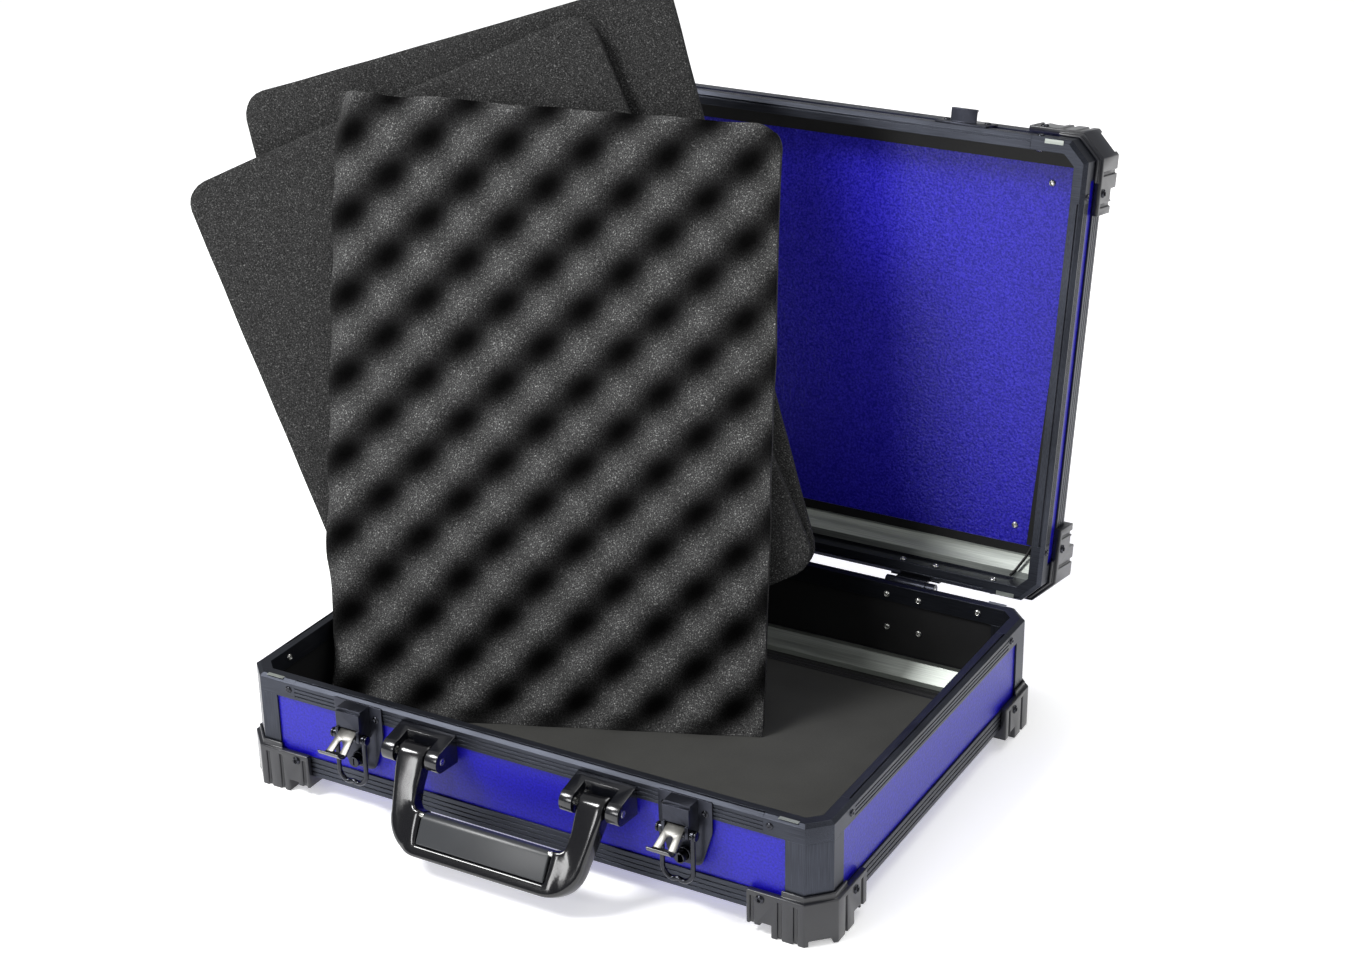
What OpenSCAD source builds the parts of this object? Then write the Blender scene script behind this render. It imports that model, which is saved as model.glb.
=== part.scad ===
// Hard case for a laptop: aluminium frame with lacquered panels, moulded corner
// feet, two draw latches with locks, a folding carrying handle and a hinged lid,
// drawn open with three loose foam inserts standing in the base.
// Origin: centre of the footprint, on the plane the feet stand on. +Z is up,
// -Y is the front with the handle.

/* [Case] */
// Width of the frame from left to right
case_w = 460; // [430:1:490]
// Depth of the frame from front to back
case_d = 342; // [330:1:360]
// Height of the base frame above its feet
base_h = 73; // [70:1:84]
// Height of the lid frame
lid_h = 37; // [35:1:46]
// Leg of the cut-off at each upright corner
corner_c = 14; // [11:0.5:17]
// Angle the lid stands open at
open_angle = 100; // [96:1:104]
// Gap between the two rims when the lid is shut
rim_gap = 0.3; // [0.2:0.05:0.5]

/* [Frame] */
// Height of the rim extrusion on the base
rim_h = 14; // [12:0.5:17]
// Height of the rim extrusion on the lid
lid_rim_h = 11; // [10:0.5:13]
// Width of the rims, seen from above
rim_w = 10; // [9.5:0.5:12]
// Height of the extrusions along the outer edges
edge_h = 15; // [13:0.5:17]
// Thickness of the lacquered side panels
skin_t = 3; // [2:0.5:4]
// Thickness of the board that lines the side walls
liner_t = 3.5; // [2.5:0.5:4]
// How deep panels sit in their channels
slot_in = 6; // [4:0.5:7]
// Length of the corner castings of the rims, from the corner
cast_arm = 44; // [40:1:48]
// Length of the upright posts' arms, from the corner
post_arm = 28; // [25:1:32]

/* [Feet] */
// Height of the feet under the frame
foot_h = 15.5; // [11:0.5:17]
// How far the corner caps stand out from the frame
cap_t = 4.5; // [3.5:0.5:6]
// Height of the corner caps on the frame
cap_h = 21; // [18:0.5:22]
// Length of the corner caps, from the corner
cap_arm = 54; // [50:1:58]

/* [Hardware] */
// Distance of latches and hinges from the middle
latch_x = 130; // [122:1:138]
// Width of the latch plates and hinge leaves
plate_w = 40; // [38:1:43]
// Thickness of the latch plates and hinge leaves
plate_t = 1.5; // [1:0.25:2]
// How far the latch pivot stands out from the front
latch_out = 12; // [11:0.5:14]
// Length of the wire bail, pivot to tip
bail_len = 39.5; // [37:0.5:42]
// Radius of the bail wire
wire_r = 1.7; // [1.2:0.1:1.9]
// Width of the latch lever at its pin
lever_w = 14; // [12:0.5:15]
// Angle the open lever stands off the wall
lever_open = 58; // [45:1:60]
// Radius of the lock cylinder
lock_r = 4; // [3.5:0.25:4.25]
// How far the hinge pin stands behind the case
hinge_off = 5; // [4.9:0.1:6]
// How far the hinge pin lies under the rim
hinge_drop = 4.6; // [4:0.1:6]

/* [Handle] */
// Distance of the handle brackets from the middle
grip_x = 71; // [68:1:74]
// Width of a handle bracket
bracket_w = 45; // [43:1:49]
// How far the handle pins stand out from the front
handle_out = 18; // [16:0.5:23]
// Length of the handle, pin to outer edge
handle_len = 66; // [63:0.5:67.5]
// Lean of the handle, held out from the front by its stiff pins
handle_lean = 29; // [20:1:40]
// Thickness of the handle
handle_t = 16; // [13:0.5:18]
// Length of the grip sleeve
sleeve_l = 102; // [90:1:104]
// Height of the grip sleeve
sleeve_h = 22; // [18:0.5:24]

/* [Foam] */
// Turn of the foam inserts from the front, seen from above
foam_turn = 22; // [19:0.5:23]
// Lean of the foam inserts towards the lid
foam_lean = 20; // [18:0.5:21]
// Width of the profiled insert
egg_w = 320; // [300:1:322]
// Height of the profiled insert
egg_h = 445; // [430:1:455]
// Depth from the peaks to the hollows of the profiled insert
egg_relief = 12; // [8:0.5:14]
// Distance between the hollows of the profiled insert
egg_pitch = 57; // [50:1:64]
// Width of the plain inserts
sheet_w = 328; // [310:1:330]
// Height of the plain inserts
sheet_h = 440; // [425:1:444]
// Thickness of the plain inserts
sheet_t = 12; // [9:0.5:12]
// Tilt of the middle insert in its own plane
middle_tilt = 24.5; // [22:0.5:26]
// Tilt of the rear insert in its own plane
back_tilt = 16.5; // [14:0.5:18]

/* [Hidden] */
fn_round = 48;
fn_small = 32;
over = 1;
skin_u = 1.5;
wall_u = skin_u + skin_t + liner_t;
slot_end = post_arm - slot_in;
bevel_w = 3;
bevel_h = 2;
rib_n = 3;
rib_w = 1;
rib_d = 0.7;
seam_w = 1.5;
seam_d = 1.2;
base_leg = 1.5;
base_plate_t = 3;
lid_leg = 1;
lid_plate_t = 2;
board_t = 1.2;
plate_in = 4;
pad_t = 3.5;
pad_back = 49;
strip_t = 1;
strip_leg = 10;
strip_flange = 8;
strip_in = 15;
rim_z = foot_h + base_h;
front_y = -case_d / 2;
back_y = case_d / 2;
pin_y = back_y + hinge_off;
pin_z = rim_z - hinge_drop;
fit = 0.05;
play = 0.3;
side_gap = 0.4;
rivet_r = 2.6;
rivet_h = 1.2;
rivet_in = 39;
latch_rivet_x = 15;
latch_rivet_drop = 10.5;
hinge_rivet_x = 13;
hinge_rivet_z = 36;
board_rivet_in = 36.5;
cap_step = 4;
collar_t = 2;
cap_under = 6;
foot_u = 14;
foot_arm = 36;
end_block = 10;
end_drop = 8.5;
groove_w = 3;
groove_d = 1.6;
foot_cut = 4;
screw_r = 3.2;
screw_h = 1.4;
screw_in = 44;
knuckle_r = hinge_off - 0.6;
hinge_pin_r = 1.6;
knuckle_l = 7;
leaf_base_h = 36;
leaf_lid_h = 24;
latch_y = front_y - latch_out;
latch_z = rim_z - 22;
latch_plate_h = 51;
block_top = rim_z - 1;
block_bottom = latch_z + 7;
cheek_t = 2.3;
cheek_r = 3.5;
latch_pin_r = 1.6;
eye_r = 3.4;
eye_w = 2.8;
pin_head_r = 3.4;
pin_head_t = 1.6;
bail_x = lever_w / 2 + side_gap + cheek_t + side_gap + eye_w / 2;
bail_arm = bail_len - bail_x;
lever_t = 1.6;
lever_barrel_r = 3;
lever_l = 17;
lever_rise = 4.6;
lever_end_w = 17;
lip_l = 9;
lip_angle = 50;
notch_w = 6;
notch_z = 7;
lock_z = latch_z - 21.5;
lock_out = 9;
collar_r = lock_r + 1.3;
collar_out = 3.5;
hook_w = 20;
hook_out = 10;
hook_z = 5.5;
hook_t = 2;
hook_lip = 3.5;
catch_h = 24;
handle_y = front_y - handle_out;
handle_z = rim_z - 17;
handle_pin_r = 2.5;
knuckle_handle_r = 8;
clevis_arm = 9.5;
arm_gap = 2.5;
clevis_gap = bracket_w - 2 * clevis_arm;
bracket_top = handle_z + 12;
bracket_bottom = handle_z - 9.5;
bracket_base = 7;
arm_w = clevis_gap - 2 * arm_gap;
frame_half = grip_x + arm_w / 2;
frame_low = frame_half - 5.3;
arm_low_w = 16.2;
corner_r = 26;
edge_bar_h = 9;
core_t = 6;
core_h = sleeve_h - 4;
opening_z = edge_bar_h + sleeve_h;
foam_x = 15.2 - case_w / 2;
foam_y = 61.8 - case_d / 2;
foam_z = foot_h + base_leg + base_plate_t + pad_t + 0.3;
egg_u = 11;
egg_back = 14;
egg_cells = 4;
sheet_r = 18;
sheet_gap = 0.3;
middle_h = sheet_h - 9;
middle_u = 126;
middle_v = 251.7;
back_u = 143;
back_v = 288;
slate = [0.24, 0.25, 0.28];
violet = [0.28, 0.27, 0.72];
black = [0.09, 0.09, 0.1];
nickel = [0.78, 0.77, 0.74];
silver = [0.72, 0.75, 0.73];
charcoal = [0.2, 0.2, 0.19];

base_rim_front();
base_rim_back();
base_rim_sides();
base_edge_front();
base_edge_back();
base_edge_sides();
base_panel_front();
base_panel_back();
base_panel_sides();
base_wall_liner();
base_bottom_panel();
base_floor_pad();
base_back_strip();
base_posts();
base_rim_corners();
base_corner_caps();
base_rivets();
base_cap_screws();
hinge_base_leaves();
hinge_pins();
latch_plates();
latch_housings();
latch_pins();
lock_collars();
handle_brackets();
handle_pins();
latch_lever_left();
latch_lever_right();
latch_bail_left();
latch_bail_right();
lock_cylinder_left();
lock_cylinder_right();
handle_frame();
handle_grip();
lid_rim_front();
lid_rim_back();
lid_rim_sides();
lid_edge_front();
lid_edge_back();
lid_edge_sides();
lid_panel_front();
lid_panel_back();
lid_panel_sides();
lid_wall_liner();
lid_top_panel();
lid_board();
lid_back_strip();
lid_posts();
lid_rim_corners();
lid_corner_caps();
lid_rivets();
lid_cap_screws();
lid_catches();
hinge_lid_leaves();
foam_eggcrate();
foam_sheet_middle();
foam_sheet_back();

// Half the length of a side: 0 front, 1 right, 2 back, 3 left
function half(k) = (k % 2 == 0) ? case_w / 2 : case_d / 2;

// Places a side drawn as the front one, with +Y pointing into the case
module on_side(k) {
    rotate([0, 0, 90 * k])
        translate([0, (k % 2 == 0) ? -case_d / 2 : -case_w / 2, 0])
            children();
}

// The cut-off corner between the right and back sides
module on_cut() {
    translate([case_w / 2 - corner_c / 2, case_d / 2 - corner_c / 2, 0])
        rotate([0, 0, 135])
            children();
}

// A bar along X from a section drawn as depth and height
module bar(length) {
    translate([-length / 2, 0, 0])
        rotate([90, 0, 90])
            linear_extrude(length)
                children();
}

// The four corners, from the one at +X +Y
module corners() {
    for (a = [0, 1], b = [0, 1])
        mirror([a, 0, 0])
            mirror([0, b, 0])
                children();
}

// Both members of a pair at -X and +X
module pair(x) {
    for (s = [-1, 1])
        translate([s * x, 0, 0])
            children();
}

// Plan of the case, drawn in by u
module outline(u) {
    a = case_w / 2 - u;
    b = case_d / 2 - u;
    c = max(0.5, corner_c - u * (2 - sqrt(2)));
    polygon([[a, c - b], [a, b - c], [a - c, b], [c - a, b], [-a, b - c], [-a, c - b], [c - a, -b], [a - c, -b]]);
}

// Plan of an angle round the +X +Y corner, between two depths
module angle_plan(u0, u1, arm) {
    intersection() {
        difference() {
            outline(u0);
            outline(u1);
        }
        translate([case_w / 2 - arm, case_d / 2 - arm])
            square(arm + 20);
    }
}

// The base, with Z from the underside of its frame
module in_base() {
    translate([0, 0, foot_h])
        children();
}

// The lid, drawn shut and then opened on its hinge
module lid_pose() {
    translate([0, pin_y, pin_z])
        rotate([-open_angle, 0, 0])
            translate([0, -pin_y, -pin_z])
                children();
}

// The lid, with Z from its outer face to its rim
module in_lid() {
    lid_pose()
        translate([0, 0, rim_z + rim_gap + lid_h])
            mirror([0, 0, 1])
                children();
}

// Heights of the fine ribs on an outer face
function ribs(low, high) = [
    for (i = [0:rib_n - 1])
        let (z = low + (high - low) * (i + 1) / (rib_n + 1))
            each [[0, z - rib_w / 2], [rib_d, z - rib_w / 2], [rib_d, z + rib_w / 2], [0, z + rib_w / 2]]
];

module rim_section(h) {
    polygon(concat(
        [[0, 0]],
        ribs(0, h - bevel_h),
        [
            [0, h - bevel_h], [bevel_w, h], [bevel_w, h - seam_d], [bevel_w + seam_w, h - seam_d],
            [bevel_w + seam_w, h], [rim_w, h], [rim_w, 0], [wall_u, 0], [wall_u, slot_in],
            [skin_u, slot_in], [skin_u, 0]
        ]
    ));
}

module edge_section(leg, plate) {
    polygon(concat(
        [[0, 0]],
        ribs(0, edge_h),
        [
            [0, edge_h], [skin_u, edge_h], [skin_u, edge_h - slot_in], [wall_u, edge_h - slot_in],
            [wall_u, edge_h], [rim_w, edge_h], [rim_w, leg + plate], [plate_in, leg + plate],
            [plate_in, leg], [rim_w, leg], [rim_w, 0]
        ]
    ));
}

module rim_bar(k, h, rh) {
    on_side(k)
        translate([0, 0, h - rh])
            bar(2 * (half(k) - cast_arm))
                rim_section(rh);
}

module edge_bar(k, leg, plate) {
    on_side(k)
        bar(2 * (half(k) - post_arm))
            edge_section(leg, plate);
}

// A board in the channels of a side
module board(k, u, t, h, rh) {
    on_side(k)
        bar(2 * (half(k) - slot_end))
            translate([u, edge_h - slot_in])
                square([t, h - rh - edge_h + 2 * slot_in]);
}

module wall_boards(h, rh) {
    for (k = [0:3])
        board(k, skin_u + skin_t, liner_t, h, rh);
}

// Cuts the channels' depth out of a corner piece
module channel_cuts(z0, z1) {
    for (k = [1, 2])
        on_side(k)
            bar(2 * (half(k) - slot_end))
                translate([skin_u, z0])
                    square([wall_u - skin_u, z1 - z0]);
}

module post(h, rh, leg, plate) {
    difference() {
        union() {
            translate([0, 0, leg + plate])
                linear_extrude(h - rh - leg - plate)
                    angle_plan(0, rim_w, post_arm);
            linear_extrude(leg + plate)
                angle_plan(0, plate_in, post_arm);
        }
        channel_cuts(leg + plate, h);
    }
}

module bevel_cut(h) {
    polygon([
        [-bevel_w, h - 2 * bevel_h],
        [1.5 * bevel_w, h + 0.5 * bevel_h],
        [-bevel_w, h + 0.5 * bevel_h]
    ]);
}

module casting(h, rh) {
    translate([0, 0, h - rh])
        difference() {
            linear_extrude(rh)
                angle_plan(0, rim_w, cast_arm);
            channel_cuts(-over, slot_in);
            for (k = [1, 2])
                on_side(k)
                    bar(2 * half(k))
                        bevel_cut(rh);
            on_cut()
                bar(4 * corner_c)
                    bevel_cut(rh);
        }
}

// Moulded corner cap with its foot
module cap() {
    difference() {
        union() {
            translate([0, 0, -cap_under])
                linear_extrude(cap_h - cap_step + cap_under)
                    angle_plan(-cap_t, 0, cap_arm);
            linear_extrude(cap_h)
                angle_plan(-collar_t, 0, post_arm + collar_t);
            translate([0, 0, -cap_under])
                linear_extrude(cap_under)
                    angle_plan(-cap_t, foot_u, cap_arm);
            translate([0, 0, -foot_h])
                linear_extrude(foot_h)
                    angle_plan(-cap_t, foot_u, foot_arm);
            translate([0, 0, -end_drop])
                linear_extrude(end_drop)
                    difference() {
                        angle_plan(-cap_t, foot_u, cap_arm);
                        angle_plan(-cap_t - over, foot_u + over, cap_arm - end_block);
                    }
        }
        for (k = [1, 2], d = (k == 1) ? [24, 47] : [18.5, 30, 50])
            on_side(k)
                for (s = [-1, 1])
                    translate([s * (half(k) - d) - groove_w / 2, -cap_t - over, -foot_h - over])
                        cube([groove_w, groove_d + over, foot_h + over + cap_h - 2 * cap_step]);
        on_cut()
            translate([-corner_c * 0.6, -cap_t - over, -foot_h - over])
                cube([corner_c * 1.2, cap_t + over + 4, foot_cut + over]);
    }
}

// A rivet or screw head on a side, standing out of the face
module stud(k, x, out, z, r, h) {
    on_side(k)
        translate([x, -out, z])
            rotate([90, 0, 0])
                cylinder(h = h, r1 = r, r2 = r * 0.7, $fn = fn_small);
}

// The same on the inner face of a side
module inner_stud(k, x, u, z) {
    on_side(k)
        translate([x, u, z])
            rotate([-90, 0, 0])
                cylinder(h = rivet_h, r1 = rivet_r, r2 = rivet_r * 0.7, $fn = fn_small);
}

module casting_rivets(z) {
    for (k = [0:3], s = [-1, 1]) {
        stud(k, s * (half(k) - rivet_in), 0, z, rivet_r, rivet_h);
        inner_stud(k, s * (half(k) - rivet_in), rim_w, z);
    }
}

module cap_screw_set() {
    for (s = [-1, 1]) {
        for (k = [0, 2])
            stud(k, s * (half(k) - screw_in), cap_t, 12, screw_r, screw_h);
        for (k = [1, 3])
            stud(k, s * (half(k) - screw_in + 6), cap_t, 10, screw_r, screw_h);
    }
}

module base_rim_front() {
    color(slate) in_base() rim_bar(0, base_h, rim_h);
}

module base_rim_back() {
    color(slate) in_base() rim_bar(2, base_h, rim_h);
}

module base_rim_sides() {
    color(slate)
        in_base()
            for (k = [1, 3])
                rim_bar(k, base_h, rim_h);
}

module base_edge_front() {
    color(slate) in_base() edge_bar(0, base_leg, base_plate_t);
}

module base_edge_back() {
    color(slate) in_base() edge_bar(2, base_leg, base_plate_t);
}

module base_edge_sides() {
    color(slate)
        in_base()
            for (k = [1, 3])
                edge_bar(k, base_leg, base_plate_t);
}

module base_panel_front() {
    color(violet) in_base() board(0, skin_u, skin_t, base_h, rim_h);
}

module base_panel_back() {
    color(violet) in_base() board(2, skin_u, skin_t, base_h, rim_h);
}

module base_panel_sides() {
    color(violet)
        in_base()
            for (k = [1, 3])
                board(k, skin_u, skin_t, base_h, rim_h);
}

module base_wall_liner() {
    color(charcoal) in_base() wall_boards(base_h, rim_h);
}

module base_bottom_panel() {
    color(violet)
        in_base()
            translate([0, 0, base_leg])
                linear_extrude(base_plate_t)
                    outline(plate_in);
}

// Soft board on the floor, stopping short of the strip at the back
module base_floor_pad() {
    color(charcoal)
        in_base()
            translate([0, 0, base_leg + base_plate_t])
                linear_extrude(pad_t)
                    intersection() {
                        outline(rim_w);
                        translate([-case_w / 2, -case_d / 2])
                            square([case_w, case_d - pad_back]);
                    }
}

// Bent strip between a wall and a flat board, as depth and height
module strip_section(low) {
    top = low + strip_t;
    u0 = rim_w;
    u1 = strip_in;
    u2 = strip_in + strip_leg;
    u3 = u2 + strip_flange;
    polygon([
        [u0, top + strip_leg], [u1, top + strip_leg], [u2, top], [u3, top],
        [u3, low], [u2 - 0.4 * strip_t, low], [u1 - 0.4 * strip_t, low + strip_leg], [u0, low + strip_leg]
    ]);
}

module base_back_strip() {
    color(silver)
        in_base()
            on_side(2)
                translate([0, 0, base_leg + base_plate_t])
                    bar(2 * (half(2) - cast_arm + rim_w))
                        strip_section(0);
}

module base_posts() {
    color(slate) in_base() corners() post(base_h, rim_h, base_leg, base_plate_t);
}

module base_rim_corners() {
    color(slate) in_base() corners() casting(base_h, rim_h);
}

module base_corner_caps() {
    color(black) in_base() corners() cap();
}

module base_rivets() {
    color(silver)
        in_base() {
            casting_rivets(base_h - 7);
            for (s = [-1, 1], e = [-1, 1]) {
                stud(0, s * latch_x + e * latch_rivet_x, plate_t, base_h - latch_rivet_drop, rivet_r, rivet_h);
                stud(2, s * latch_x + e * hinge_rivet_x, plate_t, hinge_rivet_z, rivet_r, rivet_h);
                inner_stud(2, s * latch_x + e * hinge_rivet_x, wall_u, hinge_rivet_z);
                inner_stud(2, s * latch_x + e * hinge_rivet_x, rim_w, base_h - 8.5);
            }
        }
}

module base_cap_screws() {
    color(silver) in_base() cap_screw_set();
}

module knuckle(x, length) {
    translate([x - length / 2, pin_y, pin_z])
        rotate([0, 90, 0])
            cylinder(h = length, r = knuckle_r, $fn = fn_round);
}

module knuckle_bore(r) {
    translate([-plate_w, pin_y, pin_z])
        rotate([0, 90, 0])
            cylinder(h = 2 * plate_w, r = r, $fn = fn_round);
}

module hinge_base_leaves() {
    color(slate)
        pair(latch_x)
            difference() {
                union() {
                    translate([-plate_w / 2, back_y, pin_z - leaf_base_h])
                        cube([plate_w, plate_t, leaf_base_h]);
                    for (s = [-1, 1])
                        knuckle(s * (plate_w - knuckle_l) / 2, knuckle_l);
                }
                translate([-plate_w / 2 + knuckle_l, back_y - over, pin_z - knuckle_r - side_gap])
                    cube([plate_w - 2 * knuckle_l, plate_t + 2 * over, 2 * knuckle_r]);
                knuckle_bore(hinge_pin_r + fit);
            }
}

module hinge_lid_leaves() {
    inner = plate_w - 2 * knuckle_l - 2 * side_gap;
    color(slate)
        lid_pose()
            pair(latch_x)
                difference() {
                    union() {
                        translate([-inner / 2, back_y, pin_z])
                            cube([inner, plate_t, hinge_drop + over]);
                        translate([-plate_w / 2, back_y, rim_z + rim_gap + bevel_h])
                            cube([plate_w, plate_t, leaf_lid_h]);
                        translate([-inner / 2, back_y, rim_z])
                            cube([inner, plate_t, rim_gap + bevel_h + over]);
                        knuckle(0, inner);
                    }
                    knuckle_bore(hinge_pin_r + play);
                }
}

module hinge_pins() {
    color(nickel)
        pair(latch_x)
            translate([-plate_w / 2, pin_y, pin_z])
                rotate([0, 90, 0])
                    cylinder(h = plate_w, r = hinge_pin_r, $fn = fn_round);
}

// Plate on the front wall, narrower at its foot
module latch_plates() {
    a = plate_w / 2;
    color(nickel)
        pair(latch_x)
            translate([0, front_y, rim_z - 1])
                rotate([90, 0, 0])
                    linear_extrude(plate_t)
                        polygon([
                            [-a, 0], [a, 0], [a, -0.45 * latch_plate_h], [0.55 * a, -latch_plate_h],
                            [-0.55 * a, -latch_plate_h], [-a, -0.45 * latch_plate_h]
                        ]);
}

// Block with two cheeks that hold the latch pin
module latch_housings() {
    w = lever_w + 2 * side_gap + 2 * cheek_t;
    deep = latch_out - plate_t + 2;
    color(nickel)
        pair(latch_x)
            difference() {
                union() {
                    translate([-w / 2, front_y - plate_t - deep, block_bottom])
                        cube([w, deep, block_top - block_bottom - bevel_h]);
                    translate([-w / 2, front_y - plate_t - deep + bevel_h, block_bottom])
                        cube([w, deep - bevel_h, block_top - block_bottom]);
                    for (s = [-1, 1])
                        translate([s * (w - cheek_t) / 2 - cheek_t / 2, 0, 0]) {
                            translate([0, latch_y, latch_z])
                                rotate([0, 90, 0])
                                    cylinder(h = cheek_t, r = cheek_r, $fn = fn_round);
                            translate([0, latch_y, latch_z - cheek_r])
                                cube([cheek_t, latch_out - plate_t, block_bottom - latch_z + cheek_r]);
                            translate([0, latch_y - cheek_r, latch_z])
                                cube([cheek_t, cheek_r + over, block_bottom - latch_z]);
                        }
                }
                translate([-w, latch_y, latch_z])
                    rotate([0, 90, 0])
                        cylinder(h = 2 * w, r = latch_pin_r, $fn = fn_round);
            }
}

module latch_pins() {
    l = 2 * bail_x + eye_w + 2 * side_gap;
    color(black)
        pair(latch_x)
            translate([0, latch_y, latch_z])
                rotate([0, 90, 0]) {
                    cylinder(h = l, r = latch_pin_r, center = true, $fn = fn_round);
                    for (s = [-1, 1])
                        translate([0, 0, s * (l + pin_head_t) / 2])
                            cylinder(h = pin_head_t, r = pin_head_r, center = true, $fn = fn_small);
                }
}

module lock_collars() {
    color(black)
        pair(latch_x)
            translate([0, front_y - plate_t, lock_z])
                rotate([90, 0, 0])
                    difference() {
                        cylinder(h = collar_out, r = collar_r, $fn = fn_round);
                        translate([0, 0, -over])
                            cylinder(h = collar_out + 2 * over, r = lock_r + play, $fn = fn_round);
                    }
}

module lock_cylinder() {
    translate([0, front_y - plate_t, lock_z])
        rotate([90, 0, 0])
            difference() {
                cylinder(h = lock_out, r = lock_r, $fn = fn_round);
                translate([-0.5, -0.65 * lock_r, lock_out - 1.5])
                    cube([1, 1.3 * lock_r, 1.5 + over]);
            }
}

module lock_cylinder_left() {
    color(black) translate([-latch_x, 0, 0]) lock_cylinder();
}

module lock_cylinder_right() {
    color(black) translate([latch_x, 0, 0]) lock_cylinder();
}

// Lever seen from its side: barrel on the latch pin, raised plate, curled lip
module lever_side() {
    circle(r = lever_barrel_r, $fn = fn_round);
    translate([-lever_rise, -lever_barrel_r])
        square([lever_rise, 2 * lever_barrel_r]);
    translate([-lever_rise - lever_t / 2, -lever_l])
        square([lever_t, lever_l + lever_barrel_r]);
    translate([-lever_rise, -lever_l])
        rotate(-lip_angle)
            translate([-lever_t / 2, -lip_l])
                square([lever_t, lip_l + 0.5]);
}

// Lever seen from the front: wider towards the lip, with a notch
module lever_face() {
    a = lever_w / 2;
    b = lever_end_w / 2;
    n = notch_w / 2;
    difference() {
        polygon([
            [-a, 2 * lever_barrel_r], [a, 2 * lever_barrel_r], [a, -lever_barrel_r], [b, -lever_l],
            [b, -lever_l - 2 * lip_l], [-b, -lever_l - 2 * lip_l], [-b, -lever_l], [-a, -lever_barrel_r]
        ]);
        polygon(concat(
            [for (t = [0:15:180]) [n * cos(t), n * sin(t) - notch_z - n]],
            [[-n, 1 - lever_l], [n, 1 - lever_l]]
        ));
    }
}

module latch_lever() {
    translate([0, latch_y, latch_z])
        rotate([-lever_open, 0, 0])
            difference() {
                intersection() {
                    bar(2 * lever_end_w)
                        lever_side();
                    translate([0, latch_out, 0])
                        rotate([90, 0, 0])
                            linear_extrude(3 * latch_out)
                                lever_face();
                }
                rotate([0, 90, 0])
                    cylinder(h = 2 * lever_w, r = latch_pin_r + play, center = true, $fn = fn_round);
            }
}

module latch_lever_left() {
    color(nickel) translate([-latch_x, 0, 0]) latch_lever();
}

module latch_lever_right() {
    color(nickel) translate([latch_x, 0, 0]) latch_lever();
}

// Wire bail hanging from the latch pin
module latch_bail() {
    translate([0, latch_y, latch_z])
        difference() {
            union() {
                for (s = [-1, 1]) {
                    translate([s * bail_x, 0, 0])
                        rotate([0, 90, 0])
                            cylinder(h = eye_w, r = eye_r, center = true, $fn = fn_small);
                    translate([s * bail_x, 0, -bail_arm])
                        cylinder(h = bail_arm, r = wire_r, $fn = fn_small);
                }
                translate([0, 0, -bail_arm])
                    rotate([90, 0, 0])
                        rotate([0, 0, 180])
                            rotate_extrude(angle = 180, $fn = fn_round)
                                translate([bail_x, 0])
                                    circle(r = wire_r, $fn = fn_small);
            }
            rotate([0, 90, 0])
                cylinder(h = 4 * bail_x, r = latch_pin_r + play, center = true, $fn = fn_round);
        }
}

module latch_bail_left() {
    color(black) translate([-latch_x, 0, 0]) latch_bail();
}

module latch_bail_right() {
    color(black) translate([latch_x, 0, 0]) latch_bail();
}

// Catches on the lid that the bails pull on
module lid_catches() {
    z0 = rim_z + rim_gap + bevel_h;
    color(nickel)
        lid_pose()
            pair(latch_x) {
                translate([-plate_w / 2, front_y - plate_t, z0])
                    cube([plate_w, plate_t, catch_h]);
                translate([-hook_w / 2, front_y - plate_t - hook_out, z0 + hook_z])
                    cube([hook_w, hook_out, hook_t]);
                translate([-hook_w / 2, front_y - plate_t - hook_out, z0 + hook_z])
                    cube([hook_w, hook_t, hook_lip]);
            }
}

// Clevis on the front wall, seen from its side as depth and height
module bracket_side() {
    polygon([
        [-handle_out, handle_z - knuckle_handle_r], [0, bracket_bottom],
        [0, bracket_top], [-handle_out, handle_z + knuckle_handle_r]
    ]);
    translate([-handle_out, handle_z])
        circle(r = knuckle_handle_r, $fn = fn_round);
}

module handle_brackets() {
    color(black)
        pair(grip_x)
            difference() {
                translate([0, front_y, 0])
                    bar(bracket_w)
                        bracket_side();
                translate([-clevis_gap / 2, front_y - 2 * handle_out, 0])
                    cube([clevis_gap, 2 * handle_out - bracket_base, rim_z]);
                translate([0, handle_y, handle_z])
                    rotate([0, 90, 0])
                        cylinder(h = 2 * bracket_w, r = handle_pin_r + fit, center = true, $fn = fn_round);
            }
}

module handle_pins() {
    color(nickel)
        pair(grip_x)
            translate([0, handle_y, handle_z])
                rotate([0, 90, 0])
                    cylinder(h = bracket_w, r = handle_pin_r, center = true, $fn = fn_round);
}

// The handle hangs on its pins, leaning out from the front
module handle_pose() {
    translate([0, handle_y, handle_z])
        rotate([-handle_lean, 0, 0])
            children();
}

// Face of the handle: a bow with wide ends on the pins
module bow_face() {
    low = -handle_len;
    top = knuckle_handle_r;
    cx = frame_low - corner_r;
    cz = low + corner_r;
    arm_in = frame_low - arm_low_w;
    pin_in = grip_x - arm_w / 2;
    difference() {
        polygon(concat(
            [[-frame_half, -top], [-frame_half, top], [frame_half, top], [frame_half, -top]],
            [for (t = [0:6:90]) [cx + corner_r * cos(t), cz - corner_r * sin(t)]],
            [for (t = [90:6:180]) [corner_r * cos(t) - cx, cz - corner_r * sin(t)]]
        ));
        polygon([
            [pin_in, over + top], [pin_in, -12], [arm_in, -26],
            [arm_in, low + opening_z + 8], [arm_in - 8, low + opening_z],
            [8 - arm_in, low + opening_z], [-arm_in, low + opening_z + 8],
            [-arm_in, -26], [-pin_in, -12], [-pin_in, over + top]
        ]);
    }
}

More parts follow.
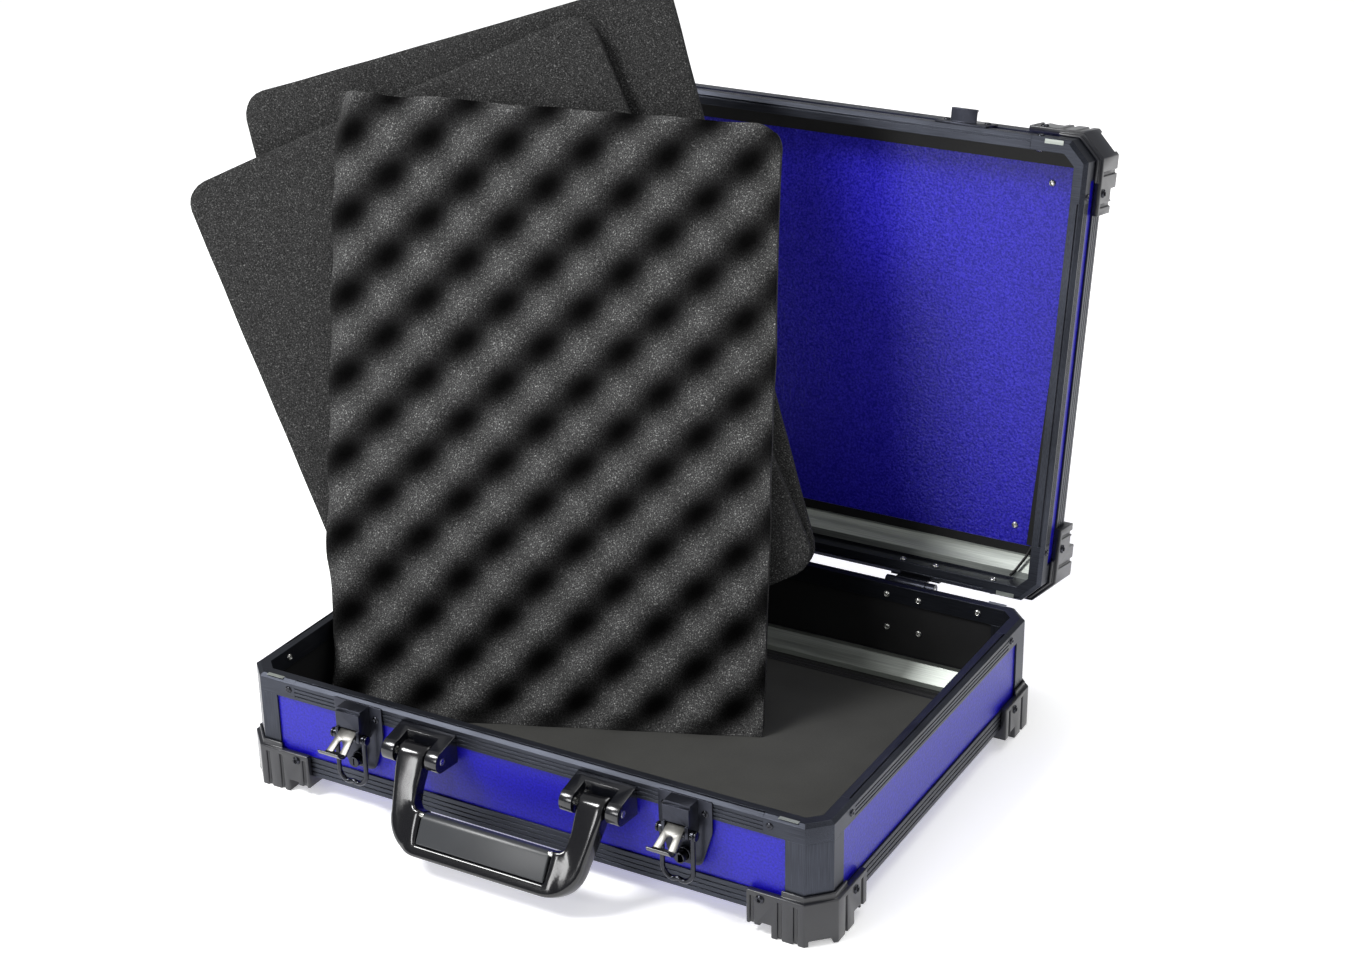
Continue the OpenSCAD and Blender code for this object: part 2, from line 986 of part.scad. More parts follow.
// Side view of the handle, round at both ends
module bow_side() {
    r = handle_t / 2;
    circle(r = r, $fn = fn_round);
    translate([-r, r - handle_len])
        square([2 * r, handle_len - r]);
    translate([0, r - handle_len])
        circle(r = r, $fn = fn_round);
}

module handle_frame() {
    low = -handle_len;
    cut = sleeve_l + 2 * fit;
    color(black)
        handle_pose()
            difference() {
                intersection() {
                    translate([0, handle_t, 0])
                        rotate([90, 0, 0])
                            linear_extrude(2 * handle_t)
                                bow_face();
                    bar(2 * frame_half + 2)
                        bow_side();
                }
                for (s = [-1, 1])
                    translate([-cut / 2, s * (core_t / 2 + handle_t / 2) - handle_t / 2, low + edge_bar_h])
                        cube([cut, handle_t, sleeve_h + over]);
                translate([-cut / 2, -handle_t, low + edge_bar_h + core_h])
                    cube([cut, 2 * handle_t, sleeve_h]);
                rotate([0, 90, 0])
                    cylinder(h = 4 * frame_half, r = handle_pin_r + play, center = true, $fn = fn_round);
            }
}

// Sleeve pressed on the handle's core
module handle_grip() {
    low = -handle_len;
    thick = handle_t - 1;
    color(slate)
        handle_pose()
            difference() {
                translate([0, 0, low + edge_bar_h + fit])
                    bar(sleeve_l)
                        polygon([
                            [-thick / 2, 0], [thick / 2, 0], [thick / 2, sleeve_h - 5],
                            [thick / 2 - 4, sleeve_h], [4 - thick / 2, sleeve_h], [-thick / 2, sleeve_h - 5]
                        ]);
                translate([-sleeve_l / 2 - over, -core_t / 2 - fit, low + edge_bar_h - over])
                    cube([sleeve_l + 2 * over, core_t + 2 * fit, core_h + over + fit]);
            }
}

module lid_rim_front() {
    color(slate) in_lid() rim_bar(0, lid_h, lid_rim_h);
}

module lid_rim_back() {
    color(slate) in_lid() rim_bar(2, lid_h, lid_rim_h);
}

module lid_rim_sides() {
    color(slate)
        in_lid()
            for (k = [1, 3])
                rim_bar(k, lid_h, lid_rim_h);
}

module lid_edge_front() {
    color(slate) in_lid() edge_bar(0, lid_leg, lid_plate_t);
}

module lid_edge_back() {
    color(slate) in_lid() edge_bar(2, lid_leg, lid_plate_t);
}

module lid_edge_sides() {
    color(slate)
        in_lid()
            for (k = [1, 3])
                edge_bar(k, lid_leg, lid_plate_t);
}

module lid_panel_front() {
    color(violet) in_lid() board(0, skin_u, skin_t, lid_h, lid_rim_h);
}

module lid_panel_back() {
    color(violet) in_lid() board(2, skin_u, skin_t, lid_h, lid_rim_h);
}

module lid_panel_sides() {
    color(violet)
        in_lid()
            for (k = [1, 3])
                board(k, skin_u, skin_t, lid_h, lid_rim_h);
}

module lid_wall_liner() {
    color(charcoal) in_lid() wall_boards(lid_h, lid_rim_h);
}

module lid_top_panel() {
    color(violet)
        in_lid()
            translate([0, 0, lid_leg])
                linear_extrude(lid_plate_t)
                    outline(plate_in);
}

// Lacquered board inside the lid
module lid_board() {
    color(violet)
        in_lid()
            translate([0, 0, lid_leg + lid_plate_t])
                linear_extrude(board_t)
                    outline(rim_w);
}

// Bent strip between the board and the wall on the hinge side
module lid_back_strip() {
    color(silver)
        in_lid()
            translate([0, 0, lid_leg + lid_plate_t + board_t])
                intersection() {
                    on_side(2)
                        bar(2 * half(2))
                            strip_section(0);
                    linear_extrude(2 * strip_leg)
                        outline(rim_w);
                }
}

module lid_posts() {
    color(slate) in_lid() corners() post(lid_h, lid_rim_h, lid_leg, lid_plate_t);
}

module lid_rim_corners() {
    color(slate) in_lid() corners() casting(lid_h, lid_rim_h);
}

module lid_corner_caps() {
    color(black) in_lid() corners() cap();
}

module lid_rivets() {
    z = lid_leg + lid_plate_t + board_t + strip_t;
    color(silver)
        in_lid() {
            casting_rivets(lid_h - 6);
            for (s = [-1, 1]) {
                for (e = [-1, 1]) {
                    inner_stud(2, s * latch_x + e * 13.5, rim_w, lid_h - 7.5);
                    stud(2, s * latch_x + e * 13.5, plate_t, lid_h - 14, rivet_r, rivet_h);
                    stud(0, s * latch_x + e * 16, plate_t, lid_h - 16, rivet_r, rivet_h);
                }
                for (y = [board_rivet_in, case_d - board_rivet_in - 10.5])
                    translate([s * (half(0) - board_rivet_in), y - case_d / 2, z - strip_t])
                        cylinder(h = rivet_h, r1 = rivet_r, r2 = rivet_r * 0.7, $fn = fn_small);
            }
        }
}

module lid_cap_screws() {
    color(silver) in_lid() cap_screw_set();
}

// Places a foam insert: X along its foot, Y up its face, Z out of its face
module foam_pose() {
    cb = cos(foam_turn);
    sb = sin(foam_turn);
    cl = cos(foam_lean);
    sl = sin(foam_lean);
    multmatrix([
        [cb, -sl * sb, cl * sb, foam_x],
        [sb, sl * cb, -cl * cb, foam_y],
        [0, cl, sl, foam_z],
        [0, 0, 0, 1]
    ])
        children();
}

// Profiled insert: staggered hollows in its face, its foot flat on the floor
module foam_eggcrate() {
    step = egg_pitch / egg_cells;
    nu = round(egg_w / step);
    nv = round(egg_h / step);
    function face_w(i, j) = cos(180 * i * egg_w / nu / egg_pitch * 2 - 40)
        * cos(180 * j * egg_h / nv / egg_pitch * 2 + 25) * egg_relief / 2;
    function foot(w) = -w * tan(foam_lean);
    function at_face(i, j) = let (w = face_w(i, j))
        [egg_u + i * egg_w / nu, j == 0 ? foot(w) : j * egg_h / nv, w];
    function id(i, j) = j * (nu + 1) + i;
    n = (nu + 1) * (nv + 1);
    face_pts = [for (j = [0:nv], i = [0:nu]) at_face(i, j)];
    ring = concat(
        [for (i = [0:nu]) [i, 0]], [for (j = [1:nv]) [nu, j]],
        [for (i = [1:nu]) [nu - i, nv]], [for (j = [1:nv - 1]) [0, nv - j]]
    );
    m = len(ring);
    back_pts = [
        for (p = ring)
            [egg_u + p[0] * egg_w / nu, p[1] == 0 ? foot(-egg_back) : p[1] * egg_h / nv, -egg_back]
    ];
    middle = [[egg_u + egg_w / 2, egg_h / 2, -egg_back]];
    face_tri = [
        for (j = [0:nv - 1], i = [0:nu - 1], h = [0, 1])
            h == 0 ? [id(i, j), id(i, j + 1), id(i + 1, j + 1)] : [id(i, j), id(i + 1, j + 1), id(i + 1, j)]
    ];
    wall_tri = [
        for (k = [0:m - 1], h = [0:2])
            let (l = (k + 1) % m, a = id(ring[k][0], ring[k][1]), b = id(ring[l][0], ring[l][1]))
                h == 0 ? [a, b, n + l] : h == 1 ? [a, n + l, n + k] : [n + k, n + l, n + m]
    ];
    color(charcoal)
        foam_pose()
            polyhedron(points = concat(face_pts, back_pts, middle), faces = concat(face_tri, wall_tri));
}

// Plain insert with round corners
module foam_sheet(u, v, tilt, front, h) {
    foam_pose()
        translate([u, v, -front - sheet_t])
            rotate([0, 0, tilt])
                linear_extrude(sheet_t)
                    for (a = [0, 1])
                        union() {
                            square([sheet_w - 2 * a * sheet_r, h - 2 * (1 - a) * sheet_r], center = true);
                            for (s = [-1, 1])
                                translate([s * (sheet_w / 2 - sheet_r), (2 * a - 1) * (h / 2 - sheet_r)])
                                    circle(r = sheet_r, $fn = fn_round);
                        }
}

// Its lowest corner is pressed flat on the floor
module foam_sheet_middle() {
    color(charcoal)
        difference() {
            foam_sheet(middle_u, middle_v, middle_tilt, egg_back + sheet_gap, middle_h);
            translate([-case_w, -case_d, foam_z - case_w])
                cube([2 * case_w, 2 * case_d, case_w]);
        }
}

module foam_sheet_back() {
    color(charcoal) foam_sheet(back_u, back_v, back_tilt, egg_back + 2 * sheet_gap + sheet_t, sheet_h);
}
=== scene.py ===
import math

import bmesh
import bpy
from mathutils import Matrix, Vector, noise


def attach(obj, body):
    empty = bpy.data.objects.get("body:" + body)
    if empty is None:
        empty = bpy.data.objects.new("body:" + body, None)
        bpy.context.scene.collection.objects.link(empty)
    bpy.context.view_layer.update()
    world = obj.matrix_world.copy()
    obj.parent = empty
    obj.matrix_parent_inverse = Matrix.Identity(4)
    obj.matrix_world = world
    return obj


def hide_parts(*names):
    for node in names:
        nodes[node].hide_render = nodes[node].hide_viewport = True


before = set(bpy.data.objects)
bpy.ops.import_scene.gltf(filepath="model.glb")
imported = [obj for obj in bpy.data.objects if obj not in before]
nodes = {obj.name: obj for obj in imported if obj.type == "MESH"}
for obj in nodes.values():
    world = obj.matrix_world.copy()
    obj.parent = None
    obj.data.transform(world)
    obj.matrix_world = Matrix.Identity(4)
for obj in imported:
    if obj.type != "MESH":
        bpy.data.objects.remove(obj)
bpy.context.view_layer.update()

scene = bpy.context.scene
mm = 0.001


# helpers

def hexLinear(code):
    parts = [int(code[i:i + 2], 16) / 255 for i in (1, 3, 5)]
    return [c / 12.92 if c <= 0.04045 else ((c + 0.055) / 1.055) ** 2.4 for c in parts] + [1.0]


# adds a node: settings go to its inputs (by name or number) or to its own properties
def addNode(tree, kind, settings=None, links=None):
    node = tree.nodes.new(kind)
    for key, value in (settings or {}).items():
        if isinstance(key, int) or key in node.inputs:
            node.inputs[key].default_value = value
        else:
            setattr(node, key, value)
    for key, source in (links or {}).items():
        tree.links.new(source, node.inputs[key])
    return node


def startMaterial(name, shaderSettings):
    material = bpy.data.materials.new(name)
    material.use_nodes = True
    tree = material.node_tree
    tree.nodes.clear()
    shader = addNode(tree, "ShaderNodeBsdfPrincipled", shaderSettings)
    addNode(tree, "ShaderNodeOutputMaterial", {}, {"Surface": shader.outputs["BSDF"]})
    material.diffuse_color = shader.inputs["Base Color"].default_value
    return material, tree, shader


# object coordinates in metres, stretched along one axis for drawn or brushed lines
def placeOn(tree, stretch=(1, 1, 1)):
    where = addNode(tree, "ShaderNodeTexCoord")
    return addNode(tree, "ShaderNodeMapping", {"Scale": stretch}, {"Vector": where.outputs["Object"]}).outputs["Vector"]


# a grey pattern turned into two colours
def twoColours(tree, pattern, low, high, dark, light):
    ramp = addNode(tree, "ShaderNodeValToRGB", {}, {"Fac": pattern})
    ramp.color_ramp.elements[0].position = low
    ramp.color_ramp.elements[0].color = hexLinear(dark)
    ramp.color_ramp.elements[1].position = high
    ramp.color_ramp.elements[1].color = hexLinear(light)
    return ramp.outputs["Color"]


def mapTo(tree, pattern, low, high):
    return addNode(tree, "ShaderNodeMapRange", {"To Min": low, "To Max": high}, {"Value": pattern}).outputs["Result"]


# soft edges on hard solids: light catches the rounded arris
def roundedNormal(tree, radius):
    return addNode(tree, "ShaderNodeBevel", {"samples": 4, "Radius": radius * mm}).outputs["Normal"]


# materials

# anodised aluminium, extruded and dyed dark: satin, with fine drawn lines along the bar and a blue-grey tone
# the drawn lines are drawn coarser than the real ones so that they show
anodised = {
    "dark": "#24262c", "light": "#42454e", "lineMm": 0.5, "lineRun": 40, "cloudMm": 60,
    "roughLow": 0.28, "roughHigh": 0.44,
}


def anodisedAluminium(name, along):
    material, tree, shader = startMaterial(name, {"Metallic": 0.85, "Base Color": hexLinear("#4a4d55")})
    stretch = [1.0, 1.0, 1.0]
    stretch[along] = 1 / anodised["lineRun"]
    lines = addNode(tree, "ShaderNodeTexNoise", {"Scale": 1 / (anodised["lineMm"] * mm), "Detail": 3.0},
                    {"Vector": placeOn(tree, stretch)}).outputs["Fac"]
    clouds = addNode(tree, "ShaderNodeTexNoise", {"Scale": 1 / (anodised["cloudMm"] * mm), "Detail": 2.0},
                     {"Vector": placeOn(tree)}).outputs["Fac"]
    halfClouds = addNode(tree, "ShaderNodeMath", {"operation": "MULTIPLY", 1: 0.5}, {0: clouds}).outputs[0]
    mixed = addNode(tree, "ShaderNodeMath", {"operation": "MULTIPLY_ADD", 1: 0.5}, {0: lines, 2: halfClouds}).outputs[0]
    tone = twoColours(tree, mixed, 0.3, 0.7, anodised["dark"], anodised["light"])
    tree.links.new(tone, shader.inputs["Base Color"])
    tree.links.new(mapTo(tree, lines, anodised["roughLow"], anodised["roughHigh"]), shader.inputs["Roughness"])
    bump = addNode(tree, "ShaderNodeBump", {"Strength": 0.12, "Distance": 0.05 * mm},
                   {"Height": lines, "Normal": roundedNormal(tree, 0.5)})
    tree.links.new(bump.outputs["Normal"], shader.inputs["Normal"])
    return material


# high-pressure laminate over board, moulded with a pebbled face: deep blue-violet, paler where it mirrors the room; the
# low spots of the pebbling are coloured darker as painted shade, and the lid board gets a paler copy of the colour as
# painted light
# deep is the colour of the painted shade in the low spots of the pebbling
laminate = {"deep": "#0a0487", "plain": "#190fae", "paintedLight": "#2e26b8"}


# bright is the base colour; for the lid board it is a paler copy as painted light
def pebbledLaminate(name, pebbleMm, bumpStrength, roughness, bright):
    material, tree, shader = startMaterial(name, {"Base Color": hexLinear(bright), "Roughness": roughness,
                                                  "IOR": 1.5, "Specular IOR Level": 0.3,
                                                  "Coat Weight": 0.08, "Coat Roughness": 0.25})
    spot = placeOn(tree)
    pebbles = addNode(tree, "ShaderNodeTexNoise", {"Scale": 1 / (pebbleMm * mm), "Detail": 2.0, "Roughness": 0.55},
                      {"Vector": spot}).outputs["Fac"]
    cells = addNode(tree, "ShaderNodeTexVoronoi", {"Scale": 1 / (pebbleMm * 1.3 * mm)},
                    {"Vector": spot}).outputs["Distance"]
    height = addNode(tree, "ShaderNodeMath", {"operation": "MULTIPLY_ADD", 1: -0.5}, {0: cells, 2: pebbles})
    # painted shade: the low spots of the pebbling take the deep colour
    tree.links.new(twoColours(tree, pebbles, 0.38, 0.66, laminate["deep"], bright), shader.inputs["Base Color"])
    bump = addNode(tree, "ShaderNodeBump", {"Strength": bumpStrength, "Distance": 0.4 * mm},
                   {"Height": height.outputs[0], "Normal": roundedNormal(tree, 0.3)})
    tree.links.new(bump.outputs["Normal"], shader.inputs["Normal"])
    return material


# fibre board, pressed and dyed: dull, with short fibres just visible
fibre = {"mm": 0.9, "patchMm": 45}


def fibreBoard(name, dark, light, roughness):
    material, tree, shader = startMaterial(name, {"Base Color": hexLinear(dark), "Roughness": roughness, "IOR": 1.45,
                                                  "Specular IOR Level": 0.35})
    spot = placeOn(tree)
    fibres = addNode(tree, "ShaderNodeTexNoise", {"Scale": 1 / (fibre["mm"] * mm), "Detail": 4.0, "Roughness": 0.7,
                                                  "Distortion": 1.2}, {"Vector": spot}).outputs["Fac"]
    patches = addNode(tree, "ShaderNodeTexNoise", {"Scale": 1 / (fibre["patchMm"] * mm), "Detail": 2.0},
                      {"Vector": spot}).outputs["Fac"]
    fine = addNode(tree, "ShaderNodeMath", {"operation": "MULTIPLY", 1: 0.6}, {0: fibres}).outputs[0]
    broad = addNode(tree, "ShaderNodeMath", {"operation": "MULTIPLY", 1: 0.4}, {0: patches}).outputs[0]
    mixed = addNode(tree, "ShaderNodeMath", {"operation": "ADD"}, {0: fine, 1: broad})
    tree.links.new(twoColours(tree, mixed.outputs[0], 0.35, 0.65, dark, light), shader.inputs["Base Color"])
    bump = addNode(tree, "ShaderNodeBump", {"Strength": 0.35, "Distance": 0.15 * mm}, {"Height": fibres})
    tree.links.new(bump.outputs["Normal"], shader.inputs["Normal"])
    return material


# aluminium sheet, brushed and left bare: pale, streaked along its length
brushed = {"dark": "#9da29d", "light": "#bcc1bb", "streakMm": 0.6, "streakRun": 60, "roughLow": 0.42, "roughHigh": 0.58}


def brushedAluminium(name):
    material, tree, shader = startMaterial(name, {"Metallic": 1.0, "Base Color": hexLinear("#c4c9c4"), "Anisotropic": 0.4})
    streaks = addNode(tree, "ShaderNodeTexNoise", {"Scale": 1 / (brushed["streakMm"] * mm), "Detail": 3.0},
                      {"Vector": placeOn(tree, (1 / brushed["streakRun"], 1, 1))}).outputs["Fac"]
    tree.links.new(twoColours(tree, streaks, 0.3, 0.7, brushed["dark"], brushed["light"]), shader.inputs["Base Color"])
    tree.links.new(mapTo(tree, streaks, brushed["roughLow"], brushed["roughHigh"]), shader.inputs["Roughness"])
    return material


# ABS, injection moulded: grained = fine spark-eroded grain, otherwise polished so that it mirrors the lights
def mouldedAbs(name, colour, roughness, grainMm, bumpStrength, coat, edge):
    material, tree, shader = startMaterial(name, {"Base Color": hexLinear(colour), "Roughness": roughness, "IOR": 1.53,
                                                  "Coat Weight": coat, "Coat Roughness": 0.04})
    spot = placeOn(tree)
    grain = addNode(tree, "ShaderNodeTexNoise", {"Scale": 1 / (grainMm * mm), "Detail": 3.0},
                    {"Vector": spot}).outputs["Fac"]
    flow = addNode(tree, "ShaderNodeTexNoise", {"Scale": 1 / (25 * mm), "Detail": 1.0}, {"Vector": spot}).outputs["Fac"]
    shade = addNode(tree, "ShaderNodeMix", {"data_type": "RGBA", "blend_type": "MULTIPLY", 0: 0.35, 6: hexLinear(colour)},
                    {7: twoColours(tree, flow, 0.3, 0.7, "#c0c0c0", "#ffffff")})
    tree.links.new(shade.outputs[2], shader.inputs["Base Color"])
    tree.links.new(mapTo(tree, grain, roughness * 0.85, roughness * 1.2), shader.inputs["Roughness"])
    bump = addNode(tree, "ShaderNodeBump", {"Strength": bumpStrength, "Distance": 0.08 * mm}, {"Height": grain})
    if edge:
        tree.links.new(roundedNormal(tree, edge), bump.inputs["Normal"])
    tree.links.new(bump.outputs["Normal"], shader.inputs["Normal"])
    return material


# plated or lacquered metal: smooth, with faint polishing lines and a little wear
def platedMetal(name, colour, metallic, roughLow, roughHigh, edge=0.0):
    material, tree, shader = startMaterial(name, {"Base Color": hexLinear(colour), "Metallic": metallic})
    spot = placeOn(tree)
    polish = addNode(tree, "ShaderNodeTexNoise", {"Scale": 1 / (1.4 * mm), "Detail": 3.0},
                     {"Vector": spot}).outputs["Fac"]
    wear = addNode(tree, "ShaderNodeTexNoise", {"Scale": 1 / (9 * mm), "Detail": 2.0}, {"Vector": spot}).outputs["Fac"]
    shade = addNode(tree, "ShaderNodeMix", {"data_type": "RGBA", "blend_type": "MULTIPLY", 0: 0.4, 6: hexLinear(colour)},
                    {7: twoColours(tree, wear, 0.35, 0.65, "#b8b8b8", "#ffffff")})
    tree.links.new(shade.outputs[2], shader.inputs["Base Color"])
    tree.links.new(mapTo(tree, polish, roughLow, roughHigh), shader.inputs["Roughness"])
    bump = addNode(tree, "ShaderNodeBump", {"Strength": 0.06, "Distance": 0.05 * mm}, {"Height": polish})
    if edge:
        tree.links.new(roundedNormal(tree, edge), bump.inputs["Normal"])
    tree.links.new(bump.outputs["Normal"], shader.inputs["Normal"])
    return material


# polyether foam, open cell, cut: matt charcoal with open pores; a painted shade attribute darkens it, and pale painted
# glints on the pores stand for light on the cell walls, fading where the painted shade is deep
# the painted shade attribute sets the foam colour, from face where it is painted lightest to hollow where it is painted
# darkest
foamLook = {"hollow": "#0e0e0e", "face": "#5a5a5a", "poreMm": 1.0, "paintedGlintMm": 1.0, "paintedGlint": "#bcbcba"}


def openCellFoam(name):
    material, tree, shader = startMaterial(name, {"Base Color": hexLinear(foamLook["face"]), "Roughness": 1.0, "IOR": 1.4,
                                                  "Specular IOR Level": 0.1})
    spot = placeOn(tree)
    pores = addNode(tree, "ShaderNodeTexNoise", {"Scale": 1 / (foamLook["poreMm"] * mm), "Detail": 5.0,
                                                 "Roughness": 0.75}, {"Vector": spot}).outputs["Fac"]
    paintedGlints = addNode(tree, "ShaderNodeTexNoise", {"Scale": 1 / (foamLook["paintedGlintMm"] * mm), "Detail": 2.0,
                                                  "Roughness": 0.6}, {"Vector": spot}).outputs["Fac"]
    # the painted shade amount, stored on the mesh as the point attribute hollow
    depth = addNode(tree, "ShaderNodeAttribute", {"attribute_name": "hollow"}).outputs["Fac"]
    base = twoColours(tree, depth, 0.0, 1.0, foamLook["face"], foamLook["hollow"])
    grain = addNode(tree, "ShaderNodeMix", {"data_type": "RGBA", "blend_type": "MULTIPLY", 0: 1.0}, {
        6: base, 7: twoColours(tree, pores, 0.38, 0.62, "#6c6c6c", "#ffffff")})
    # painted glints: pale specks, hidden where the painted shade is deep
    bright = twoColours(tree, paintedGlints, 0.6, 0.72, "#000000", "#ffffff")
    shown = addNode(tree, "ShaderNodeMath", {"operation": "SUBTRACT", 0: 0.75, "use_clamp": True}, {1: depth})
    amount = addNode(tree, "ShaderNodeMath", {"operation": "MULTIPLY"}, {
        0: addNode(tree, "ShaderNodeRGBToBW", {}, {"Color": bright}).outputs[0], 1: shown.outputs[0]})
    colour = addNode(tree, "ShaderNodeMix", {"data_type": "RGBA", 7: hexLinear(foamLook["paintedGlint"])},
                     {0: amount.outputs[0], 6: grain.outputs[2]})
    tree.links.new(colour.outputs[2], shader.inputs["Base Color"])
    bump = addNode(tree, "ShaderNodeBump", {"Strength": 0.9, "Distance": 0.5 * mm}, {"Height": pores})
    tree.links.new(bump.outputs["Normal"], shader.inputs["Normal"])
    return material


finish = {
    "frameX": anodisedAluminium("anodisedAluminium.alongX", 0),
    "frameY": anodisedAluminium("anodisedAluminium.alongY", 1),
    "frameZ": anodisedAluminium("anodisedAluminium.alongZ", 2),
    "panel": pebbledLaminate("pebbledLaminate.outside", 1.6, 0.3, 0.36, laminate["plain"]),
    # the lid board's paler base colour is painted light
    "lidBoard": pebbledLaminate("pebbledLaminate.lid", 1.6, 1.0, 0.32, laminate["paintedLight"]),
    "liner": fibreBoard("fibreBoard.black", "#0c0c0d", "#1b1b1c", 0.75),
    "pad": fibreBoard("needleFelt.grey", "#31312f", "#3d3d3b", 0.95),
    "trim": fibreBoard("vulcanisedFibre.black", "#0b0b0c", "#161617", 0.5),
    "bare": brushedAluminium("brushedAluminium"),
    "cap": mouldedAbs("abs.grained", "#191a20", 0.3, 0.5, 0.25, 0.1, 0.0),
    "gloss": mouldedAbs("abs.polished", "#0c0c0f", 0.16, 3.0, 0.05, 0.15, 0.0),
    "bracket": mouldedAbs("abs.satin", "#101116", 0.2, 0.6, 0.12, 0.2, 0.0),
    "grip": mouldedAbs("thermoplasticRubber.satin", "#2c2e31", 0.36, 0.8, 0.3, 0.0, 0.0),
    "rivet": platedMetal("turnedSteel", "#c9c9c5", 1.0, 0.2, 0.34),
    "nickel": platedMetal("satinNickel", "#686764", 1.0, 0.3, 0.42),
    "latch": platedMetal("lacqueredSteel", "#34363f", 0.8, 0.24, 0.36, 0.3),
    "chrome": platedMetal("blackChrome", "#3a3b40", 1.0, 0.14, 0.26, 0.2),
    "foam": openCellFoam("openCellFoam"),
}
print("materials:", len(finish))

nodeFinish = {
    "frameX": ["base_rim_front", "base_rim_back", "base_edge_front", "base_edge_back", "lid_rim_front", "lid_rim_back",
               "lid_edge_front", "lid_edge_back", "base_rim_corners", "lid_rim_corners", "lid_wall_liner"],
    "frameY": ["base_rim_sides", "base_edge_sides"],
    "frameZ": ["base_posts", "lid_rim_sides", "lid_edge_sides", "lid_posts"],
    "panel": ["base_panel_front", "base_panel_back", "base_panel_sides", "lid_panel_front", "lid_panel_back",
              "lid_panel_sides", "base_bottom_panel", "lid_top_panel"],
    "lidBoard": ["lid_board"],
    "liner": ["base_wall_liner"],
    "pad": ["base_floor_pad"],
    "bare": ["base_back_strip", "lid_back_strip"],
    "latch": ["hinge_base_leaves", "hinge_lid_leaves"],
    "rivet": ["hinge_pins"],
}
for key, names in nodeFinish.items():
    for nodeName in names:
        nodes[nodeName].data.materials.clear()
        nodes[nodeName].data.materials.append(finish[key])


# mesh helpers

def finishMesh(obj, smoothAngle):
    for polygon in obj.data.polygons:
        polygon.use_smooth = True
    obj.data.set_sharp_from_angle(angle=math.radians(smoothAngle))


def newPiece(name, bm, key, body, smoothAngle=35, parts=()):
    bmesh.ops.recalc_face_normals(bm, faces=bm.faces)
    mesh = bpy.data.meshes.new(name)
    bm.to_mesh(mesh)
    bm.free()
    obj = bpy.data.objects.new(name, mesh)
    scene.collection.objects.link(obj)
    mesh.materials.append(finish[key])
    finishMesh(obj, smoothAngle)
    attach(obj, body)
    if parts:
        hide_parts(*parts)
    return obj


# bakes the modifiers of a piece into its mesh
def settle(obj, smoothAngle=35):
    bpy.context.view_layer.update()
    baked = bpy.data.meshes.new_from_object(obj.evaluated_get(bpy.context.evaluated_depsgraph_get()))
    obj.modifiers.clear()
    obj.data = baked
    finishMesh(obj, smoothAngle)
    return obj


def softenEdges(obj, width, segments=3, angle=30):
    bevel = obj.modifiers.new("edges", "BEVEL")
    bevel.width = width * mm
    bevel.segments = segments
    bevel.limit_method = "ANGLE"
    bevel.angle_limit = math.radians(angle)
    return settle(obj)


# a hard CAD piece with its edges rounded, which then stands for the node
def roundedPiece(nodeName, pieceName, key, body, width, segments=3):
    bm = bmesh.new()
    bm.from_mesh(nodes[nodeName].data)
    bmesh.ops.remove_doubles(bm, verts=bm.verts, dist=0.002 * mm)
    bmesh.ops.dissolve_limit(bm, angle_limit=math.radians(1), verts=bm.verts, edges=bm.edges)
    obj = newPiece(pieceName, bm, key, body, parts=[nodeName])
    return softenEdges(obj, width, segments)


def smooth(value, low, high):
    t = min(1.0, max(0.0, (value - low) / (high - low)))
    return t * t * (3 - 2 * t)


def place(x=0, y=0, z=0):
    return Matrix.Translation((x * mm, y * mm, z * mm))


def turn(angle, axis):
    return Matrix.Rotation(math.radians(angle), 4, axis)


# a turned part: profile in mm as radius and height, axis +Z of the place
def addLathe(bm, profile, where, sides=24):
    rings = []
    for r, h in profile:
        if r < 1e-6:
            rings.append([bm.verts.new(where @ Vector((0, 0, h * mm)))])
        else:
            rings.append([bm.verts.new(where @ Vector((r * mm * math.cos(t), r * mm * math.sin(t), h * mm)))
                          for t in (2 * math.pi * i / sides for i in range(sides))])
    for a, b in zip(rings, rings[1:]):
        for i in range(sides):
            corners = [a[i % len(a)], a[(i + 1) % len(a)], b[(i + 1) % len(b)], b[i % len(b)]]
            corners = list(dict.fromkeys(corners))
            if len(corners) > 2:
                bm.faces.new(corners)


# a closed outline in mm, extruded along +Z of the place
def addExtrusion(bm, outline, thick, where):
    low = [bm.verts.new(where @ Vector((x * mm, y * mm, 0))) for x, y in outline]
    high = [bm.verts.new(where @ Vector((x * mm, y * mm, thick * mm))) for x, y in outline]
    bm.faces.new(low[::-1])
    bm.faces.new(high)
    for i in range(len(outline)):
        j = (i + 1) % len(outline)
        bm.faces.new([low[i], low[j], high[j], high[i]])


# rounds the corners of an outline, one radius for each corner
def roundOutline(points, radii, steps=6):
    out = []
    n = len(points)
    for i, radius in enumerate(radii):
        p = Vector(points[i])
        a = (Vector(points[i - 1]) - p).normalized()
        b = (Vector(points[(i + 1) % n]) - p).normalized()
        if radius <= 0:
            out.append(tuple(p))
            continue
        half = a.angle(b) / 2
        start, end = p + a * radius / math.tan(half), p + b * radius / math.tan(half)
        centre = p + (a + b).normalized() * radius / math.sin(half)
        sweep = math.pi - 2 * half
        side = 1 if (start - centre).cross(end - centre) > 0 else -1
        first = math.atan2(start.y - centre.y, start.x - centre.x)
        for k in range(steps + 1):
            t = first + side * sweep * k / steps
            out.append((centre.x + radius * math.cos(t), centre.y + radius * math.sin(t)))
    return out


